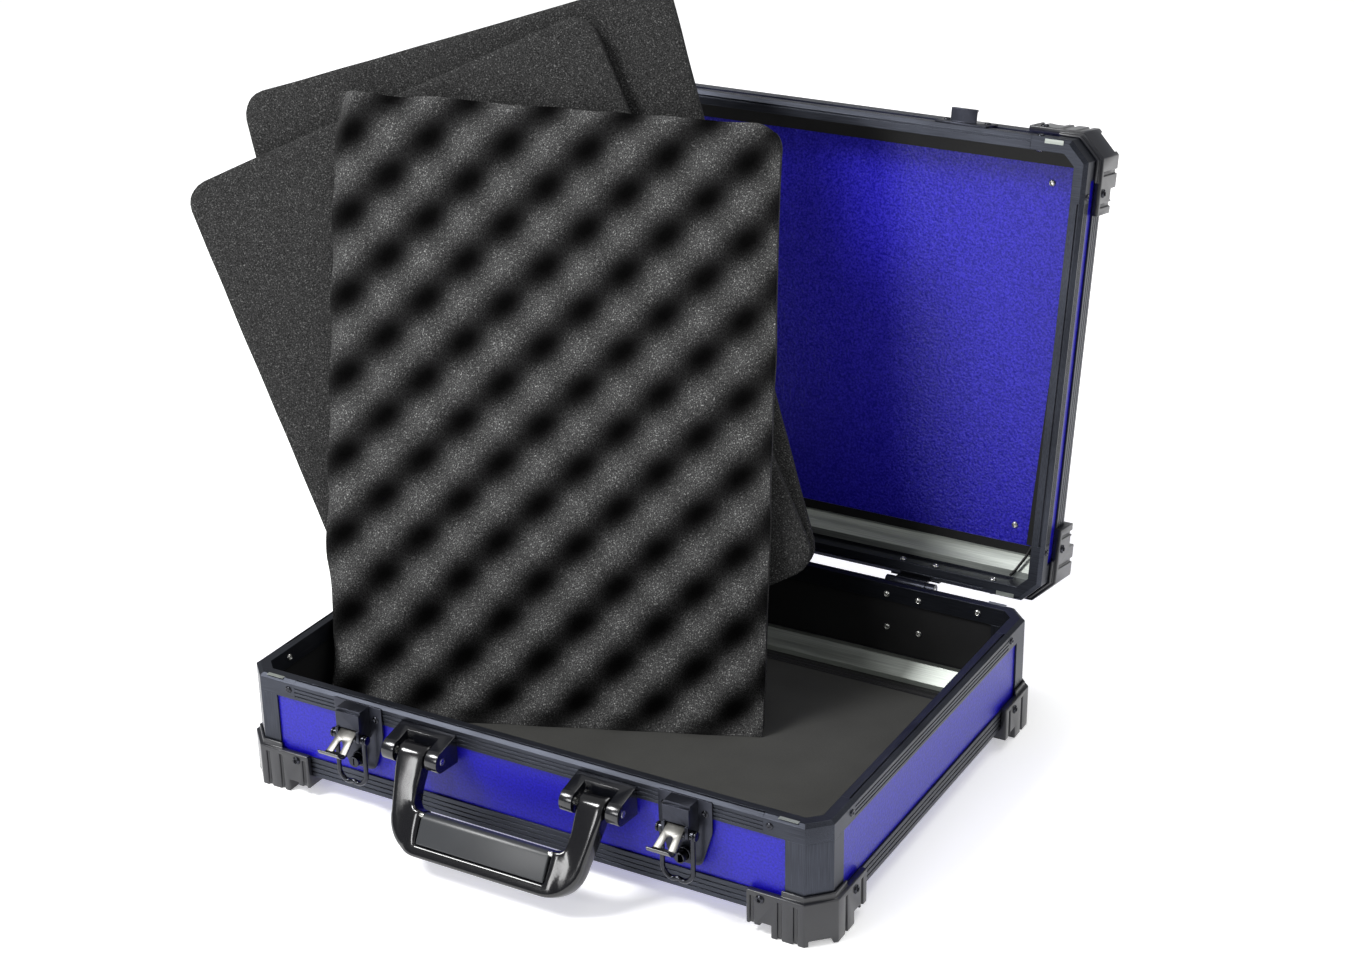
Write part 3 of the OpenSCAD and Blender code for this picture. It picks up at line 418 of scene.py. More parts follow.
# a round wire along points in mm
def addWire(bm, points, radius, where, sides=16, closed=False):
    points = [Vector(p) for p in points]
    rings = []
    last = None
    for i, p in enumerate(points):
        before = points[i - 1] if i else p
        after = points[i + 1] if i + 1 < len(points) else p
        along = (after - before).normalized()
        across = Vector((0, 1, 0)) if last is None else last
        across = (across - along * across.dot(along)).normalized()
        last = across
        other = along.cross(across)
        rings.append([bm.verts.new(where @ ((p + (across * math.cos(t) + other * math.sin(t)) * radius) * mm))
                      for t in (2 * math.pi * k / sides for k in range(sides))])
    for a, b in zip(rings, rings[1:]):
        for k in range(sides):
            bm.faces.new([a[k], a[(k + 1) % sides], b[(k + 1) % sides], b[k]])
    bm.faces.new(rings[0][::-1])
    bm.faces.new(rings[-1])


# places shared with the frame, in mm

case = {"w": 460, "d": 342, "footH": 15.5, "baseH": 73, "lidH": 37, "open": 100, "rimGap": 0.3}
rimZ = case["footH"] + case["baseH"]
frontY = -case["d"] / 2
pinY, pinZ = case["d"] / 2 + 5, rimZ - 4.6
inBase = place(0, 0, case["footH"])
lidShut = place(0, 0, rimZ + case["rimGap"] + case["lidH"]) @ Matrix.Diagonal((1, 1, -1, 1))
lidOpen = place(0, pinY, pinZ) @ turn(-case["open"], "X") @ place(0, -pinY, -pinZ)
inLid = lidOpen @ lidShut


def halfSide(k):
    return (case["w"] if k % 2 == 0 else case["d"]) / 2


# a place on side k (0 front, 1 right, 2 back, 3 left) with +Y into the case
def onSide(k):
    return turn(90 * k, "Z") @ place(0, -(case["d"] if k % 2 == 0 else case["w"]) / 2, 0)


outward = turn(90, "X")
inward = turn(-90, "X")

# corner caps

caps = {"edge": 0.9, "segments": 3}
roundedPiece("base_corner_caps", "baseCaps", "cap", "base", caps["edge"], caps["segments"])
roundedPiece("lid_corner_caps", "lidCaps", "cap", "lid", caps["edge"], caps["segments"])
print("corner caps done")

# ribbed black trim on the floor in front of the back strip
floorTrim = {
    "long": 428, "y": 122.2, "z": 4.5,
    "ribs": [(0, 0), (0, 3.2), (1.6, 3.6), (3.4, 2.6), (5.4, 3.6), (7.4, 2.6), (9.6, 3.4), (12, 2.4), (15.6, 2.0),
             (15.6, 0)],
}
bm = bmesh.new()
addExtrusion(bm, [(floorTrim["y"] + y, z) for y, z in floorTrim["ribs"]][::-1], floorTrim["long"],
             inBase @ place(-floorTrim["long"] / 2, 0, floorTrim["z"]) @ turn(90, "X") @ turn(90, "Y"))
newPiece("floorTrim", bm, "trim", "base", 30)

# black edging round the board in the lid, a cover over the strip's flange and the cord that holds the lid; the black
# edging at the front and sides stands for the dark that the metal strips there mirror: painted reflection
edging = {
    "level": 32.8, "thick": 1.2, "out": 10.3, "cutOff": (24, 11), "miter": (25, 30), "top": 23.5, "foot": 34,
    "sideTop": 17, "sideLow": 25.5, "cover": (26.5, 33.2), "coverIn": 20, "coverT": 0.4, "coverZ": 1.05,
    "cord": [(20, 35, 3.0), (23, 26, 5.5), (27, 17, 13.0), (31, 11.5, 13.2)], "cordR": 1.1,
}
onBoard = inLid @ place(0, 0, case["lidH"] - edging["level"])
x, y = halfSide(0), case["d"] / 2
(cutX, cutY), (outY, inY) = edging["cutOff"], edging["miter"]
bm = bmesh.new()
topHalf = [(x - cutX, cutY - y), (x - edging["out"], outY - y), (x - edging["sideTop"], inY - y),
           (x - edging["sideTop"] - 3, edging["top"] - y)]
addExtrusion(bm, topHalf + [(-u, v) for u, v in topHalf[::-1]], edging["thick"], onBoard)
side = [(x - edging["out"], outY - y), (x - edging["out"], y - edging["foot"]),
        (x - edging["sideLow"], y - edging["foot"]), (x - edging["sideTop"], inY - y)]
addExtrusion(bm, [(-u, v) for u, v in side[::-1]], edging["thick"], onBoard)
addExtrusion(bm, side, edging["thick"], onBoard)
reach, (near, far) = x - edging["coverIn"], edging["cover"]
addExtrusion(bm, [(-reach, y - far), (reach, y - far), (reach, y - near), (-reach, y - near)], edging["coverT"],
             onBoard @ place(0, 0, edging["coverZ"]))
newPiece("lidEdgingPaintedReflection", bm, "trim", "lid", 30)
bm = bmesh.new()
addWire(bm, [(x - u, y - v, w) for u, v, w in edging["cord"]], edging["cordR"], onBoard, 10)
newPiece("lidCord", bm, "trim", "lid", 40)

# bare ends of the rails, where the dye stops at the corner castings
railEnd = {"half": 7, "deep": 3.2, "thick": 0.12, "x": 203.5, "in": 0.9}
railOutline = [(-railEnd["half"], 0), (railEnd["half"], 0), (railEnd["half"], railEnd["deep"]),
               (-railEnd["half"], railEnd["deep"])]
for body, where, top in (("base", inBase, case["baseH"]), ("lid", inLid, case["lidH"])):
    bm = bmesh.new()
    for k in (0, 2):
        for s in (-1, 1):
            spot = where @ onSide(k) @ place(s * railEnd["x"], railEnd["in"], top)
            addExtrusion(bm, railOutline, railEnd["thick"], spot)
    newPiece(body + "RailEnds", bm, "bare", body, 30)

# rivets and screws

rivets = {
    "outside": [(0, 0.5), (0.7, 0.55), (1.0, 0.95), (1.5, 1.15), (2.1, 0.95), (2.5, 0.45), (2.6, 0.0)],
    "inside": [(0, 0.1), (0.9, 0.15), (1.1, 0.9), (1.5, 1.2), (2.0, 1.05), (2.45, 0.5), (2.6, 0.0)],
    "screw": [(0, 0.2), (1.2, 0.25), (1.35, 1.1), (2.0, 1.4), (2.8, 1.0), (3.15, 0.45), (3.2, 0.0)],
    "fromEnd": 39, "castingZ": 66, "rimIn": 10, "linerIn": 8, "proud": -1.5, "fittingX": 130,
    "latch": (15, 62.5), "hingeLeaf": (13, 36), "hingeRim": (13, 64.5),
    "lidRim": 6, "lidHingeRim": (13.5, 29.5), "lidHingeLeaf": (13.5, 23), "catch": (16, 21),
    "boardIn": 36.5, "boardBack": 47, "boardZ": 4.2, "screwProud": -4.5, "screwFront": (44, 12), "screwSide": (38, 10),
}


def rivetOn(bm, kind, where, k, x, depth, z):
    addLathe(bm, rivets[kind], where @ onSide(k) @ place(x, depth, z) @ (inward if kind == "inside" else outward))


# a rivet pair on each latch or hinge of one side
def rivetPairs(bm, kind, where, k, depth, spot):
    for s in (-1, 1):
        for e in (-1, 1):
            rivetOn(bm, kind, where, k, s * rivets["fittingX"] + e * spot[0], depth, spot[1])


def castingRivets(outside, inside, where, z):
    for k in range(4):
        for s in (-1, 1):
            x = s * (halfSide(k) - rivets["fromEnd"])
            rivetOn(outside, "outside", where, k, x, 0, z)
            rivetOn(inside, "inside", where, k, x, rivets["rimIn"], z)


outside, inside = bmesh.new(), bmesh.new()
castingRivets(outside, inside, inBase, rivets["castingZ"])
rivetPairs(outside, "outside", inBase, 0, rivets["proud"], rivets["latch"])
rivetPairs(outside, "outside", inBase, 2, rivets["proud"], rivets["hingeLeaf"])
rivetPairs(inside, "inside", inBase, 2, rivets["linerIn"], rivets["hingeLeaf"])
rivetPairs(inside, "inside", inBase, 2, rivets["rimIn"], rivets["hingeRim"])
newPiece("baseRivets.outside", outside, "chrome", "base", 50, ["base_rivets"])
newPiece("baseRivets.inside", inside, "rivet", "base", 50)

outside, inside = bmesh.new(), bmesh.new()
castingRivets(outside, inside, inLid, case["lidH"] - rivets["lidRim"])
rivetPairs(inside, "inside", inLid, 2, rivets["rimIn"], rivets["lidHingeRim"])
rivetPairs(outside, "outside", inLid, 2, rivets["proud"], rivets["lidHingeLeaf"])
rivetPairs(outside, "outside", inLid, 0, rivets["proud"], rivets["catch"])
for s in (-1, 1):
    for y in (rivets["boardIn"], case["d"] - rivets["boardBack"]):
        spot = place(s * (halfSide(0) - rivets["boardIn"]), y - case["d"] / 2, rivets["boardZ"])
        addLathe(inside, rivets["inside"], inLid @ spot)
newPiece("lidRivets.outside", outside, "chrome", "lid", 50, ["lid_rivets"])
newPiece("lidRivets.inside", inside, "rivet", "lid", 50)

for body, where in (("base", inBase), ("lid", inLid)):
    bm = bmesh.new()
    for s in (-1, 1):
        for k in range(4):
            fromEnd, z = rivets["screwFront"] if k % 2 == 0 else rivets["screwSide"]
            rivetOn(bm, "screw", where, k, s * (halfSide(k) - fromEnd), rivets["screwProud"], z)
    newPiece(body + "CapScrews", bm, "chrome", body, 50, [body + "_cap_screws"])
print("rivets and screws done")

# latches

latch = {
    "x": 130, "y": frontY - 12, "z": rimZ - 22, "plateW": 40, "plateH": 51, "plateT": 1.5, "open": 58,
    "bailX": 11.5, "bailLen": 39.5, "wire": 1.7, "kink": 2.2,
    "leverW": 14, "leverEnd": 17, "leverLen": 17, "leverRise": 4.6, "leverT": 1.5, "slotR": 2.2, "slotTop": -6.5,
    "barrelR": 3, "lipSteps": 12, "lipStep": 1.15, "lipCurl": 8.5, "lipT": 1.5, "eyeR": 3.4,
}

bm = bmesh.new()
half, tall = latch["plateW"] / 2, latch["plateH"]
plateOutline = roundOutline(
    [(-half, 0), (-half, -0.45 * tall), (-0.58 * half, -tall), (0.58 * half, -tall), (half, -0.45 * tall), (half, 0)],
    [0.8, 14, 7, 7, 14, 0.8])
for s in (-1, 1):
    addExtrusion(bm, plateOutline, latch["plateT"], place(s * latch["x"], frontY, rimZ - 1) @ outward)
softenEdges(newPiece("latchPlates", bm, "latch", "base", parts=["latch_plates"]), 0.35, 2, 40)

roundedPiece("latch_housings", "latchHousings", "latch", "base", 0.7, 3)
roundedPiece("latch_pins", "latchPins", "chrome", "base", 0.5, 3)
roundedPiece("lid_catches", "lidCatches", "latch", "lid", 0.4, 2)
roundedPiece("lock_collars", "lockCollars", "chrome", "base", 0.5, 3)
roundedPiece("lock_cylinder_left", "lockLeft", "chrome", "lock_left", 0.4, 3)
roundedPiece("lock_cylinder_right", "lockRight", "chrome", "lock_right", 0.4, 3)


# lever plate: bent from strip, with an open slot in its end
def leverPlate(bm, where):
    w, b, n, t = latch["leverW"] / 2, latch["leverEnd"] / 2, latch["slotR"], latch["leverT"]
    top, end = latch["barrelR"], -latch["leverLen"] - 0.6
    slot = [(n * math.cos(a), latch["slotTop"] - n + n * math.sin(a)) for a in (math.pi * k / 8 for k in range(9))]
    left = [(-w, top), (-w, -top), (-b, end), (-n - 0.6, end)]
    outline = left + slot[::-1] + [(-x, z) for x, z in left[::-1]]
    addExtrusion(bm, outline[::-1], t, where @ place(0, -latch["leverRise"] + t / 2, 0) @ outward)


# barrel and neck of the lever
def leverRoot(bm, where):
    w, r = latch["leverW"] / 2, latch["barrelR"]
    ring = [(r * math.cos(t), r * math.sin(t)) for t in (math.pi / 2 - math.pi * k / 14 for k in range(15))]
    side = ring + [(-latch["leverRise"] + 0.6, -r), (-latch["leverRise"] + 0.6, r)]
    addExtrusion(bm, side, 2 * w, where @ place(-w, 0, 0) @ turn(90, "X") @ turn(90, "Y"))


# curled lip under the lever's end
def curledLip(bm, where):
    b = latch["leverEnd"] / 2
    spine = []
    y, z, angle = -latch["leverRise"] + 0.3, -latch["leverLen"] + 1.0, 200.0
    for k in range(latch["lipSteps"]):
        spine.append((y, z, angle))
        angle += latch["lipCurl"] if k > 1 else 3
        y += latch["lipStep"] * math.sin(math.radians(angle))
        z += latch["lipStep"] * math.cos(math.radians(angle))
    rows = []
    for k, (y, z, angle) in enumerate(spine):
        f = k / (len(spine) - 1)
        width = b * (1.0 + 0.05 * math.sin(math.pi * f))
        ny, nz = math.cos(math.radians(angle)), -math.sin(math.radians(angle))
        thick = latch["lipT"] * (1 - 0.45 * f)
        rows.append([[bm.verts.new(where @ place(x * width, y + ny * thick * q, z + nz * thick * q) @ Vector((0, 0, 0)))
                      for x in (-1.0, -0.9, -0.45, 0.0, 0.45, 0.9, 1.0)] for q in (-0.5, 0.5)])
    for a, b2 in zip(rows, rows[1:]):
        for i in range(6):
            bm.faces.new([a[0][i], a[0][i + 1], b2[0][i + 1], b2[0][i]])
            bm.faces.new([a[1][i + 1], a[1][i], b2[1][i], b2[1][i + 1]])
        for i in (0, 6):
            bm.faces.new([a[0][i], b2[0][i], b2[1][i], a[1][i]])
    for row in (rows[0], rows[-1]):
        for i in range(6):
            bm.faces.new([row[0][i], row[0][i + 1], row[1][i + 1], row[1][i]])


# bail: wire from eye to eye, round at its foot with a small kink in the middle
def bailWire(bm, where):
    x, foot = latch["bailX"], latch["bailLen"] - latch["wire"]
    arm = latch["bailLen"] - x
    points = [(-x, 0, 0), (-x, 0, -arm * 0.5), (-x, 0, -arm)]
    r = foot - arm
    for k in range(1, 24):
        t = math.pi * k / 24
        dip = latch["kink"] * math.exp(-((k - 12) / 2.2) ** 2)
        points.append((-x * math.cos(t), 0, -arm - (r - dip) * math.sin(t)))
    points += [(x, 0, -arm), (x, 0, -arm * 0.5), (x, 0, 0)]
    addWire(bm, points, latch["wire"], where)
    r = latch["eyeR"]
    eye = [(1.9, -1.4), (r - 0.4, -1.4), (r, -1.0), (r, 1.0), (r - 0.4, 1.4), (1.9, 1.4), (1.9, -1.4)]
    for s in (-1, 1):
        addLathe(bm, eye, where @ place(s * x, 0, 0) @ turn(90, "Y"))


for side, s in (("left", -1), ("right", 1)):
    pivot = place(s * latch["x"], latch["y"], latch["z"])
    where = pivot @ turn(-latch["open"], "X")
    bm = bmesh.new()
    leverPlate(bm, where)
    softenEdges(newPiece("leverPlate." + side, bm, "nickel", "lever_" + side,
                         parts=["latch_lever_" + side]), 0.35, 2, 40)
    bm = bmesh.new()
    leverRoot(bm, where)
    softenEdges(newPiece("leverRoot." + side, bm, "chrome", "lever_" + side), 0.3, 2, 40)
    bm = bmesh.new()
    curledLip(bm, where)
    softenEdges(newPiece("leverLip." + side, bm, "gloss", "lever_" + side), 0.25, 2, 50)
    bm = bmesh.new()
    bailWire(bm, pivot)
    newPiece("bail." + side, bm, "chrome", "bail_" + side, 40, ["latch_bail_" + side])
print("latches done")

# handle

handle = {
    "y": frontY - 18, "z": rimZ - 17, "lean": 29, "len": 66, "thick": 16, "pinX": 71, "armW": 21, "lowX": 76.2,
    "corner": 26, "barH": 9, "armTilt": 0.1, "gripLen": 102, "gripH": 22, "dish": 0.3, "dishAt": (68.5, -30),
    "dishSize": (8.5, 22), "squareness": 0.42, "pegX": 52.0, "pegY": -5.2,
}
handlePose = place(0, handle["y"], handle["z"]) @ turn(-handle["lean"], "X")


# outer and inner outline of half the bow, from the top of the arm to the middle of the foot
def bowHalf():
    low, r = -handle["len"], handle["corner"]
    outTop, inTop = handle["pinX"] + handle["armW"] / 2, handle["pinX"] - handle["armW"] / 2
    outer = [(outTop, 8), (outTop, 4), (outTop, 0), (outTop, -5), (outTop - 0.4, -10)]
    for k in range(1, 7):
        f = k / 7
        outer.append((outTop - 0.4 + (handle["lowX"] - outTop + 0.4) * f, -10 + (low + r + 10) * f))
    cx, cz = handle["lowX"] - r, low + r
    outer += [(cx + r * math.cos(t), cz - r * math.sin(t)) for t in (math.pi / 2 * k / 14 for k in range(15))]
    grip = handle["gripLen"] / 2
    inner = [(inTop, z) for z in (8, 4, 0, -5, -9, -13)]
    inner += [(inTop + 0.3, -17), (inTop + 0.2, -21), (inTop - 0.1, -25), (inTop - 0.4, -29), (inTop - 1.2, -31.5),
              (inTop - 2.6, -33.2), (inTop - 4.6, -34.2), (grip + 0.4, -34.6)]
    inner += [(grip, z) for z in (-36, -39, -42, -45, -48, -50.5, -52.5, -54.2, -55.4)]
    inner += [(grip - 0.1, -56.2), (grip - 0.4, -56.7), (grip - 1.0, -57)]
    return outer, inner


# pairs of an outer and an inner point, from the top of one arm round to the other
def bowStations():
    right = list(zip(*bowHalf()))
    middle = [((x, -handle["len"]), (x, -handle["len"] + handle["barH"])) for x in (42, 30, 15, 0, -15, -30, -42)]
    return right + middle + [((-o[0], o[1]), (-i[0], i[1])) for o, i in right[::-1]]


def bowBody(bm):
    outTop = handle["pinX"] + handle["armW"] / 2
    power, sides = handle["squareness"], 40
    rings = []
    for o, i in bowStations():
        o, i = Vector(o), Vector(i)
        centre, reach = (o + i) / 2, (o - i) / 2
        top = max(o.y, i.y)
        thick = handle["thick"] / 2
        if top > 0:
            thick = math.sqrt(max(0.0, thick ** 2 - min(top, thick) ** 2)) + 0.05
        ring = []
        for k in range(sides):
            t = 2 * math.pi * k / sides
            c, s = math.cos(t), math.sin(t)
            a = math.copysign(abs(c) ** power, c)
            b = math.copysign(abs(s) ** power, s)
            p = centre + reach * a
            y = thick * b
            # the front of each arm falls back towards the grip, with a shallow dish in it
            if b < 0:
                y += handle["armTilt"] * max(0.0, outTop - abs(p.x)) * smooth(abs(p.x), 56, 64) * min(1.0, 2 * abs(b))
            arm = 1 - ((abs(p.x) - handle["dishAt"][0]) / handle["dishSize"][0]) ** 2
            arm -= ((p.y - handle["dishAt"][1]) / handle["dishSize"][1]) ** 2
            if b < 0 and arm > 0:
                y += handle["dish"] * arm * min(1.0, abs(b))
            ring.append(bm.verts.new(handlePose @ Vector((p.x * mm, y * mm, p.y * mm))))
        rings.append(ring)
    for a, b in zip(rings, rings[1:]):
        for k in range(sides):
            bm.faces.new([a[k], a[(k + 1) % sides], b[(k + 1) % sides], b[k]])
    bm.faces.new(rings[0][::-1])
    bm.faces.new(rings[-1])


bm = bmesh.new()
bowBody(bm)
newPiece("handleBow", bm, "gloss", "handle", 60, ["handle_frame"])

bm = bmesh.new()
half, low = handle["gripLen"] / 2 - 0.4, -handle["len"] + handle["barH"]
thick, tall = handle["thick"] - 1, handle["gripH"]
gripSide = [(-thick / 2, low), (thick / 2, low), (thick / 2, low + tall), (-thick / 2, low + tall)]
gripSide = roundOutline(gripSide, [1.2, 1.2, 5, 5])
addExtrusion(bm, gripSide, 2 * half, handlePose @ place(-half, 0, 0) @ turn(90, "X") @ turn(90, "Y"))
softenEdges(newPiece("gripSleeve", bm, "grip", "handle", parts=["handle_grip"]), 1.0, 3, 50)

bm = bmesh.new()
for s in (-1, 1):
    addLathe(bm, [(0, -2.5), (1.9, -2.5), (1.9, 1.6), (1.5, 2.2), (0.8, 2.4), (0, 2.4)],
             handlePose @ place(s * handle["pegX"], handle["pegY"], low + tall - 2.2) @ turn(90 * s, "Y"), 20)
newPiece("gripPegs", bm, "rivet", "handle", 50)

roundedPiece("handle_brackets", "handleBrackets", "bracket", "base", 0.9, 3)
roundedPiece("handle_pins", "handlePins", "rivet", "base", 0.4, 2)
print("handle done")

# foam inserts

foam = {
    "turn": 22, "lean": 20, "x": -214.8, "y": -109.2, "z": case["footH"] + 8.3,
    "eggW": 320, "eggH": 445, "eggU": 11, "pitch": 57, "peak": 6.5, "hollow": 9, "back": 14, "gridMm": 2.6,
    # the shade weights: how much painted shade comes from depth in a hollow, and how much from a slope that faces away
    # from the light
    "phaseU": 114, "phaseV": 100, "depthShade": 0.26, "slopePaintedShade": 0.38,
    "leftTop": 9, "leftRim": 2.5, "rightIn": 3, "topLeft": 13, "topRight": 6, "cut": 14,
    "cutTall": 52, "sheetW": 328, "sheetT": 12, "corner": 18,
    "middle": {"u": 123.5, "v": 253.5, "tilt": 24.5, "front": 14.3, "tall": 433},
    "rear": {"u": 143, "v": 288, "tilt": 16.5, "front": 26.6, "tall": 440},
}
foamPose = place(foam["x"], foam["y"], foam["z"]) @ turn(foam["turn"], "Z") @ turn(90 - foam["lean"], "X")


# closed slab from a front grid and a back grid that share one outline
def addSlab(bm, nu, nv, front, back, edgePoint, layers):
    grids = []
    for surface in (front, back):
        grids.append([[bm.verts.new(surface(i / nu, j / nv)) for i in range(nu + 1)] for j in range(nv + 1)])
    for g, grid in enumerate(grids):
        for j in range(nv):
            for i in range(nu):
                quad = [grid[j][i], grid[j][i + 1], grid[j + 1][i + 1], grid[j + 1][i]]
                bm.faces.new(quad if g == 0 else quad[::-1])
    ring = [(i, 0) for i in range(nu)] + [(nu, j) for j in range(nv)]
    ring += [(nu - i, nv) for i in range(nu)] + [(0, nv - j) for j in range(nv)]
    loops = [[grids[0][j][i] for i, j in ring]]
    for depth in layers:
        loops.append([bm.verts.new(edgePoint(i / nu, j / nv, depth)) for i, j in ring])
    loops.append([grids[1][j][i] for i, j in ring])
    count = len(ring)
    for a, b in zip(loops, loops[1:]):
        for k in range(count):
            bm.faces.new([a[k], b[k], b[(k + 1) % count], a[(k + 1) % count]])


# depth of the profile at a place on the sheet, and the two shares of its painted light and shade
def eggHeight(u, v):
    turns = 2 * math.pi / foam["pitch"]
    across, along = u * turns - math.radians(foam["phaseU"]), v * turns + math.radians(foam["phaseV"])
    wave = math.cos(across) * math.cos(along)
    # painted light and shade: slopes that face up and left get a paler colour and slopes that face down and right get a
    # darker one, as a light from the upper left would give them
    slopeToLight = math.sin(along - across)
    jitter = 0.35 * noise.noise(Vector((u / 30, v / 30, 3.1)))
    return wave, slopeToLight, (wave * foam["peak"] if wave > 0 else wave * foam["hollow"]) + jitter - 0.3


# outline of the profiled insert: cut by hand, so its top runs down to the right; dented where it rests on the rim
def eggOutline(f, g):
    u, v = f * foam["eggW"], g * foam["eggH"]
    pull = 1.2 * noise.noise(Vector((g * 9, f * 2, 0.7)))
    if f > 0.98:
        u -= 0.6 + pull
    if g > 0.985:
        v -= 1.0 + 1.6 * noise.noise(Vector((f * 11, 5.2, g)))
    du, dv = u - (foam["eggW"] - 18), v - (foam["eggH"] - 18)
    if du > 0 and dv > 0:
        far = math.hypot(du, dv)
        reach = max(du, dv)
        if far > 1e-6:
            u, v = u + du * (reach / far - 1), v + dv * (reach / far - 1)
    left = foam["leftRim"] + (foam["leftTop"] - foam["leftRim"]) * smooth(v, 65, 120)
    u -= left * (1 - f) + foam["rightIn"] * f
    v += g * (foam["topLeft"] * (1 - f) - foam["topRight"] * f)
    return u, v


def eggFront(f, g):
    u, v = eggOutline(f, g)
    w = eggHeight(f * foam["eggW"], g * foam["eggH"])[2]
    edge = min(min(f, 1 - f) * foam["eggW"], (1 - g) * foam["eggH"])
    w -= 1.2 * max(0.0, 1 - edge / 2.6) ** 2
    w *= 0.3 + 0.7 * smooth(g * foam["eggH"], 0, 14)
    cut = foam["cut"] * (1 - (1 - g) * foam["eggH"] / foam["cutTall"]) - f * foam["eggW"]
    w -= 1.5 * max(0.0, cut)
    if g == 0:
        v = -w * math.tan(math.radians(foam["lean"]))
    return foamPose @ Vector(((u + foam["eggU"]) * mm, v * mm, w * mm))


def eggBack(f, g):
    u, v = eggOutline(f, g)
    if g == 0:
        v = foam["back"] * math.tan(math.radians(foam["lean"]))
    return foamPose @ Vector(((u + foam["eggU"]) * mm, v * mm, -foam["back"] * mm))


def eggEdge(f, g, depth):
    return eggFront(f, g).lerp(eggBack(f, g), depth)


bm = bmesh.new()
nu, nv = round(foam["eggW"] / foam["gridMm"]), round(foam["eggH"] / foam["gridMm"])
addSlab(bm, nu, nv, eggFront, eggBack, eggEdge, (0.25, 0.5, 0.75))
# for each point of the front, its painted shade: darker deep in a hollow, and darker on a slope that faces down and
# right, away from the light
paintedShades = []
for j in range(nv + 1):
    for i in range(nu + 1):
        wave, slopeToLight = eggHeight(i / nu * foam["eggW"], j / nv * foam["eggH"])[:2]
        paintedShades.append(min(1.0, max(0.0, 0.5 - foam["depthShade"] * wave - foam["slopePaintedShade"] * slopeToLight)))
egg = newPiece("foamProfiled", bm, "foam", "insert_front", 60, ["foam_eggcrate"])
# the painted shade goes into the point attribute hollow; the sides and back get a fixed 0.3
shade = egg.data.attributes.new("hollow", "FLOAT", "POINT")
shade.data.foreach_set("value", paintedShades + [0.3] * (len(egg.data.vertices) - len(paintedShades)))


# plain insert: rounded corners, soft edges, a little wave in its faces
def plainInsert(name, data, body, node, seed):
    w, t, r, h = foam["sheetW"], foam["sheetT"], foam["corner"], data["tall"]
    pose = foamPose @ place(data["u"], data["v"], -data["front"] - t) @ turn(data["tilt"], "Z")

    def outline(f, g, inset):
        u, v = (f - 0.5) * (w - 2 * inset), (g - 0.5) * (h - 2 * inset)
        cx, cy = w / 2 - r, h / 2 - r
        du, dv = abs(u) - cx, abs(v) - cy
        if du > 0 and dv > 0:
            far, reach = math.hypot(du, dv), max(du, dv)
            u, v = math.copysign(cx + du * reach / far, u), math.copysign(cy + dv * reach / far, v)
        rough = 0.5 * noise.noise(Vector((u / 40, v / 40, seed)))
        return u + (rough if abs(f - 0.5) > 0.49 else 0), v + (rough if abs(g - 0.5) > 0.49 else 0)

    def point(f, g, inset, z):
        u, v = outline(f, g, inset)
        p = pose @ Vector((u * mm, v * mm, z * mm))
        p.z = max(p.z, foam["z"] * mm)
        return p

    def face(level, sign):
        def surface(f, g):
            u, v = outline(f, g, 0)
            dip = 0.35 + 0.3 * noise.noise(Vector((u / 60, v / 60, seed)))
            return point(f, g, 0.8, level - sign * dip)
        return surface

    bm = bmesh.new()
    addSlab(bm, 56, 76, face(t, 1), face(0, -1), lambda f, g, depth: point(f, g, 0, t * (1 - depth)), (0.09, 0.5, 0.91))
    piece = newPiece(name, bm, "foam", body, 60, [node])
    # the plain inserts get the middle value of the painted shade, the same all over
    tone = piece.data.attributes.new("hollow", "FLOAT", "POINT")
    tone.data.foreach_set("value", [0.5] * len(piece.data.vertices))


plainInsert("foamPlainMiddle", foam["middle"], "insert_middle", "foam_sheet_middle", 2.3)
plainInsert("foamPlainRear", foam["rear"], "insert_back", "foam_sheet_back", 8.9)
print("foam inserts done")

# floor, light and camera

stage = {"floor": "#ffffff", "glow": 0.4, "size": 120, "sky": 0.42, "key": 72, "veil": 6, "fill": 5, "rim": 20}

floorMesh = bpy.data.meshes.new("floor")
half = stage["size"] / 2
floorMesh.from_pydata([(-half, -half, 0), (half, -half, 0), (half, half, 0), (-half, half, 0)], [], [(0, 1, 2, 3)])
floor = bpy.data.objects.new("floor", floorMesh)
scene.collection.objects.link(floor)
floorMaterial, tree, shader = startMaterial("matteBackdrop", {
    "Base Color": hexLinear(stage["floor"]), "Roughness": 0.9,
    "Emission Color": hexLinear(stage["floor"]), "Emission Strength": stage["glow"]})
mottle = addNode(tree, "ShaderNodeTexNoise", {"Scale": 3.0, "Detail": 1.0}, {"Vector": placeOn(tree)}).outputs["Fac"]
tree.links.new(twoColours(tree, mottle, 0.2, 0.8, "#fbfbfb", "#ffffff"), shader.inputs["Base Color"])
floorMesh.materials.append(floorMaterial)

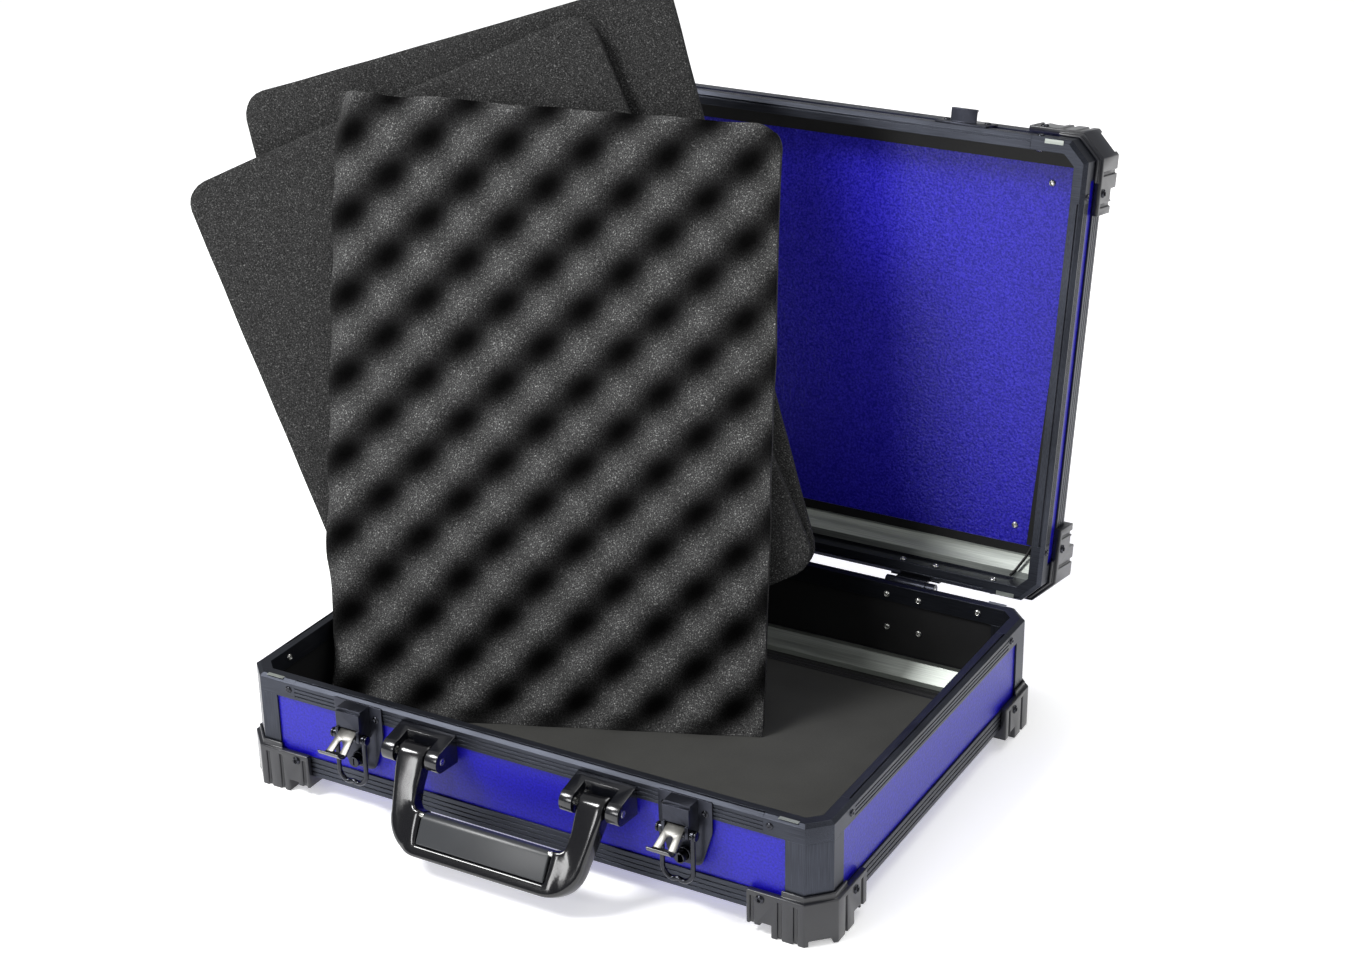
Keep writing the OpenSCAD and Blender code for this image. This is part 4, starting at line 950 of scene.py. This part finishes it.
world = bpy.data.worlds.new("studio")
scene.world = world
world.use_nodes = True
tree = world.node_tree
tree.nodes.clear()
direction = addNode(tree, "ShaderNodeTexCoord").outputs["Generated"]
height = addNode(tree, "ShaderNodeSeparateXYZ", {}, {"Vector": direction}).outputs["Z"]
sky = twoColours(tree, height, 0.0, 0.7, "#a4a8b2", "#ffffff")
background = addNode(tree, "ShaderNodeBackground", {"Strength": stage["sky"]}, {"Color": sky})
addNode(tree, "ShaderNodeOutputWorld", {}, {"Surface": background.outputs["Background"]})


def softLight(name, position, target, size, power):
    data = bpy.data.lights.new(name, "AREA")
    data.shape = "RECTANGLE"
    data.size, data.size_y = size
    data.energy = power
    lamp = bpy.data.objects.new(name, data)
    scene.collection.objects.link(lamp)
    lamp.location = position
    lamp.rotation_euler = (Vector(target) - Vector(position)).to_track_quat("-Z", "Y").to_euler()


softLight("keyLight", (-1.25, -1.25, 2.2), (-0.03, 0.03, 0.25), (0.8, 0.8), stage["key"])
softLight("veilLight", (-0.4, -1.6, 0.72), (0.15, 0.1, 0.35), (0.4, 0.4), stage["veil"])
softLight("fillLight", (2.1, -0.6, 1.0), (0, 0, 0.15), (1.0, 1.2), stage["fill"])
softLight("topLight", (0.3, 1.0, 2.1), (0, 0.1, 0.2), (1.6, 1.0), stage["rim"])

view = {"from": (0.8231, -1.3785, 0.9397), "to": (-0.09892, 0.22447, 0.10421), "roll": -1.06, "lens": 66.64, "sensor": 36}
forward = (Vector(view["to"]) - Vector(view["from"])).normalized()
level = forward.cross(Vector((0, 0, 1))).normalized()
upright = level.cross(forward)
roll = math.radians(view["roll"])
across = level * math.cos(roll) + upright * math.sin(roll)
up = upright * math.cos(roll) - level * math.sin(roll)
cameraData = bpy.data.cameras.new("camera")
cameraData.lens = view["lens"]
cameraData.sensor_width = view["sensor"]
cameraData.sensor_fit = "HORIZONTAL"
cameraData.clip_start, cameraData.clip_end = 0.05, 50
camera = bpy.data.objects.new("camera", cameraData)
scene.collection.objects.link(camera)
axes = Matrix((across, up, -forward)).transposed().to_4x4()
camera.matrix_world = Matrix.Translation(Vector(view["from"])) @ axes
scene.camera = camera
scene.view_settings.view_transform = "Standard"
print("stage, light and camera done")
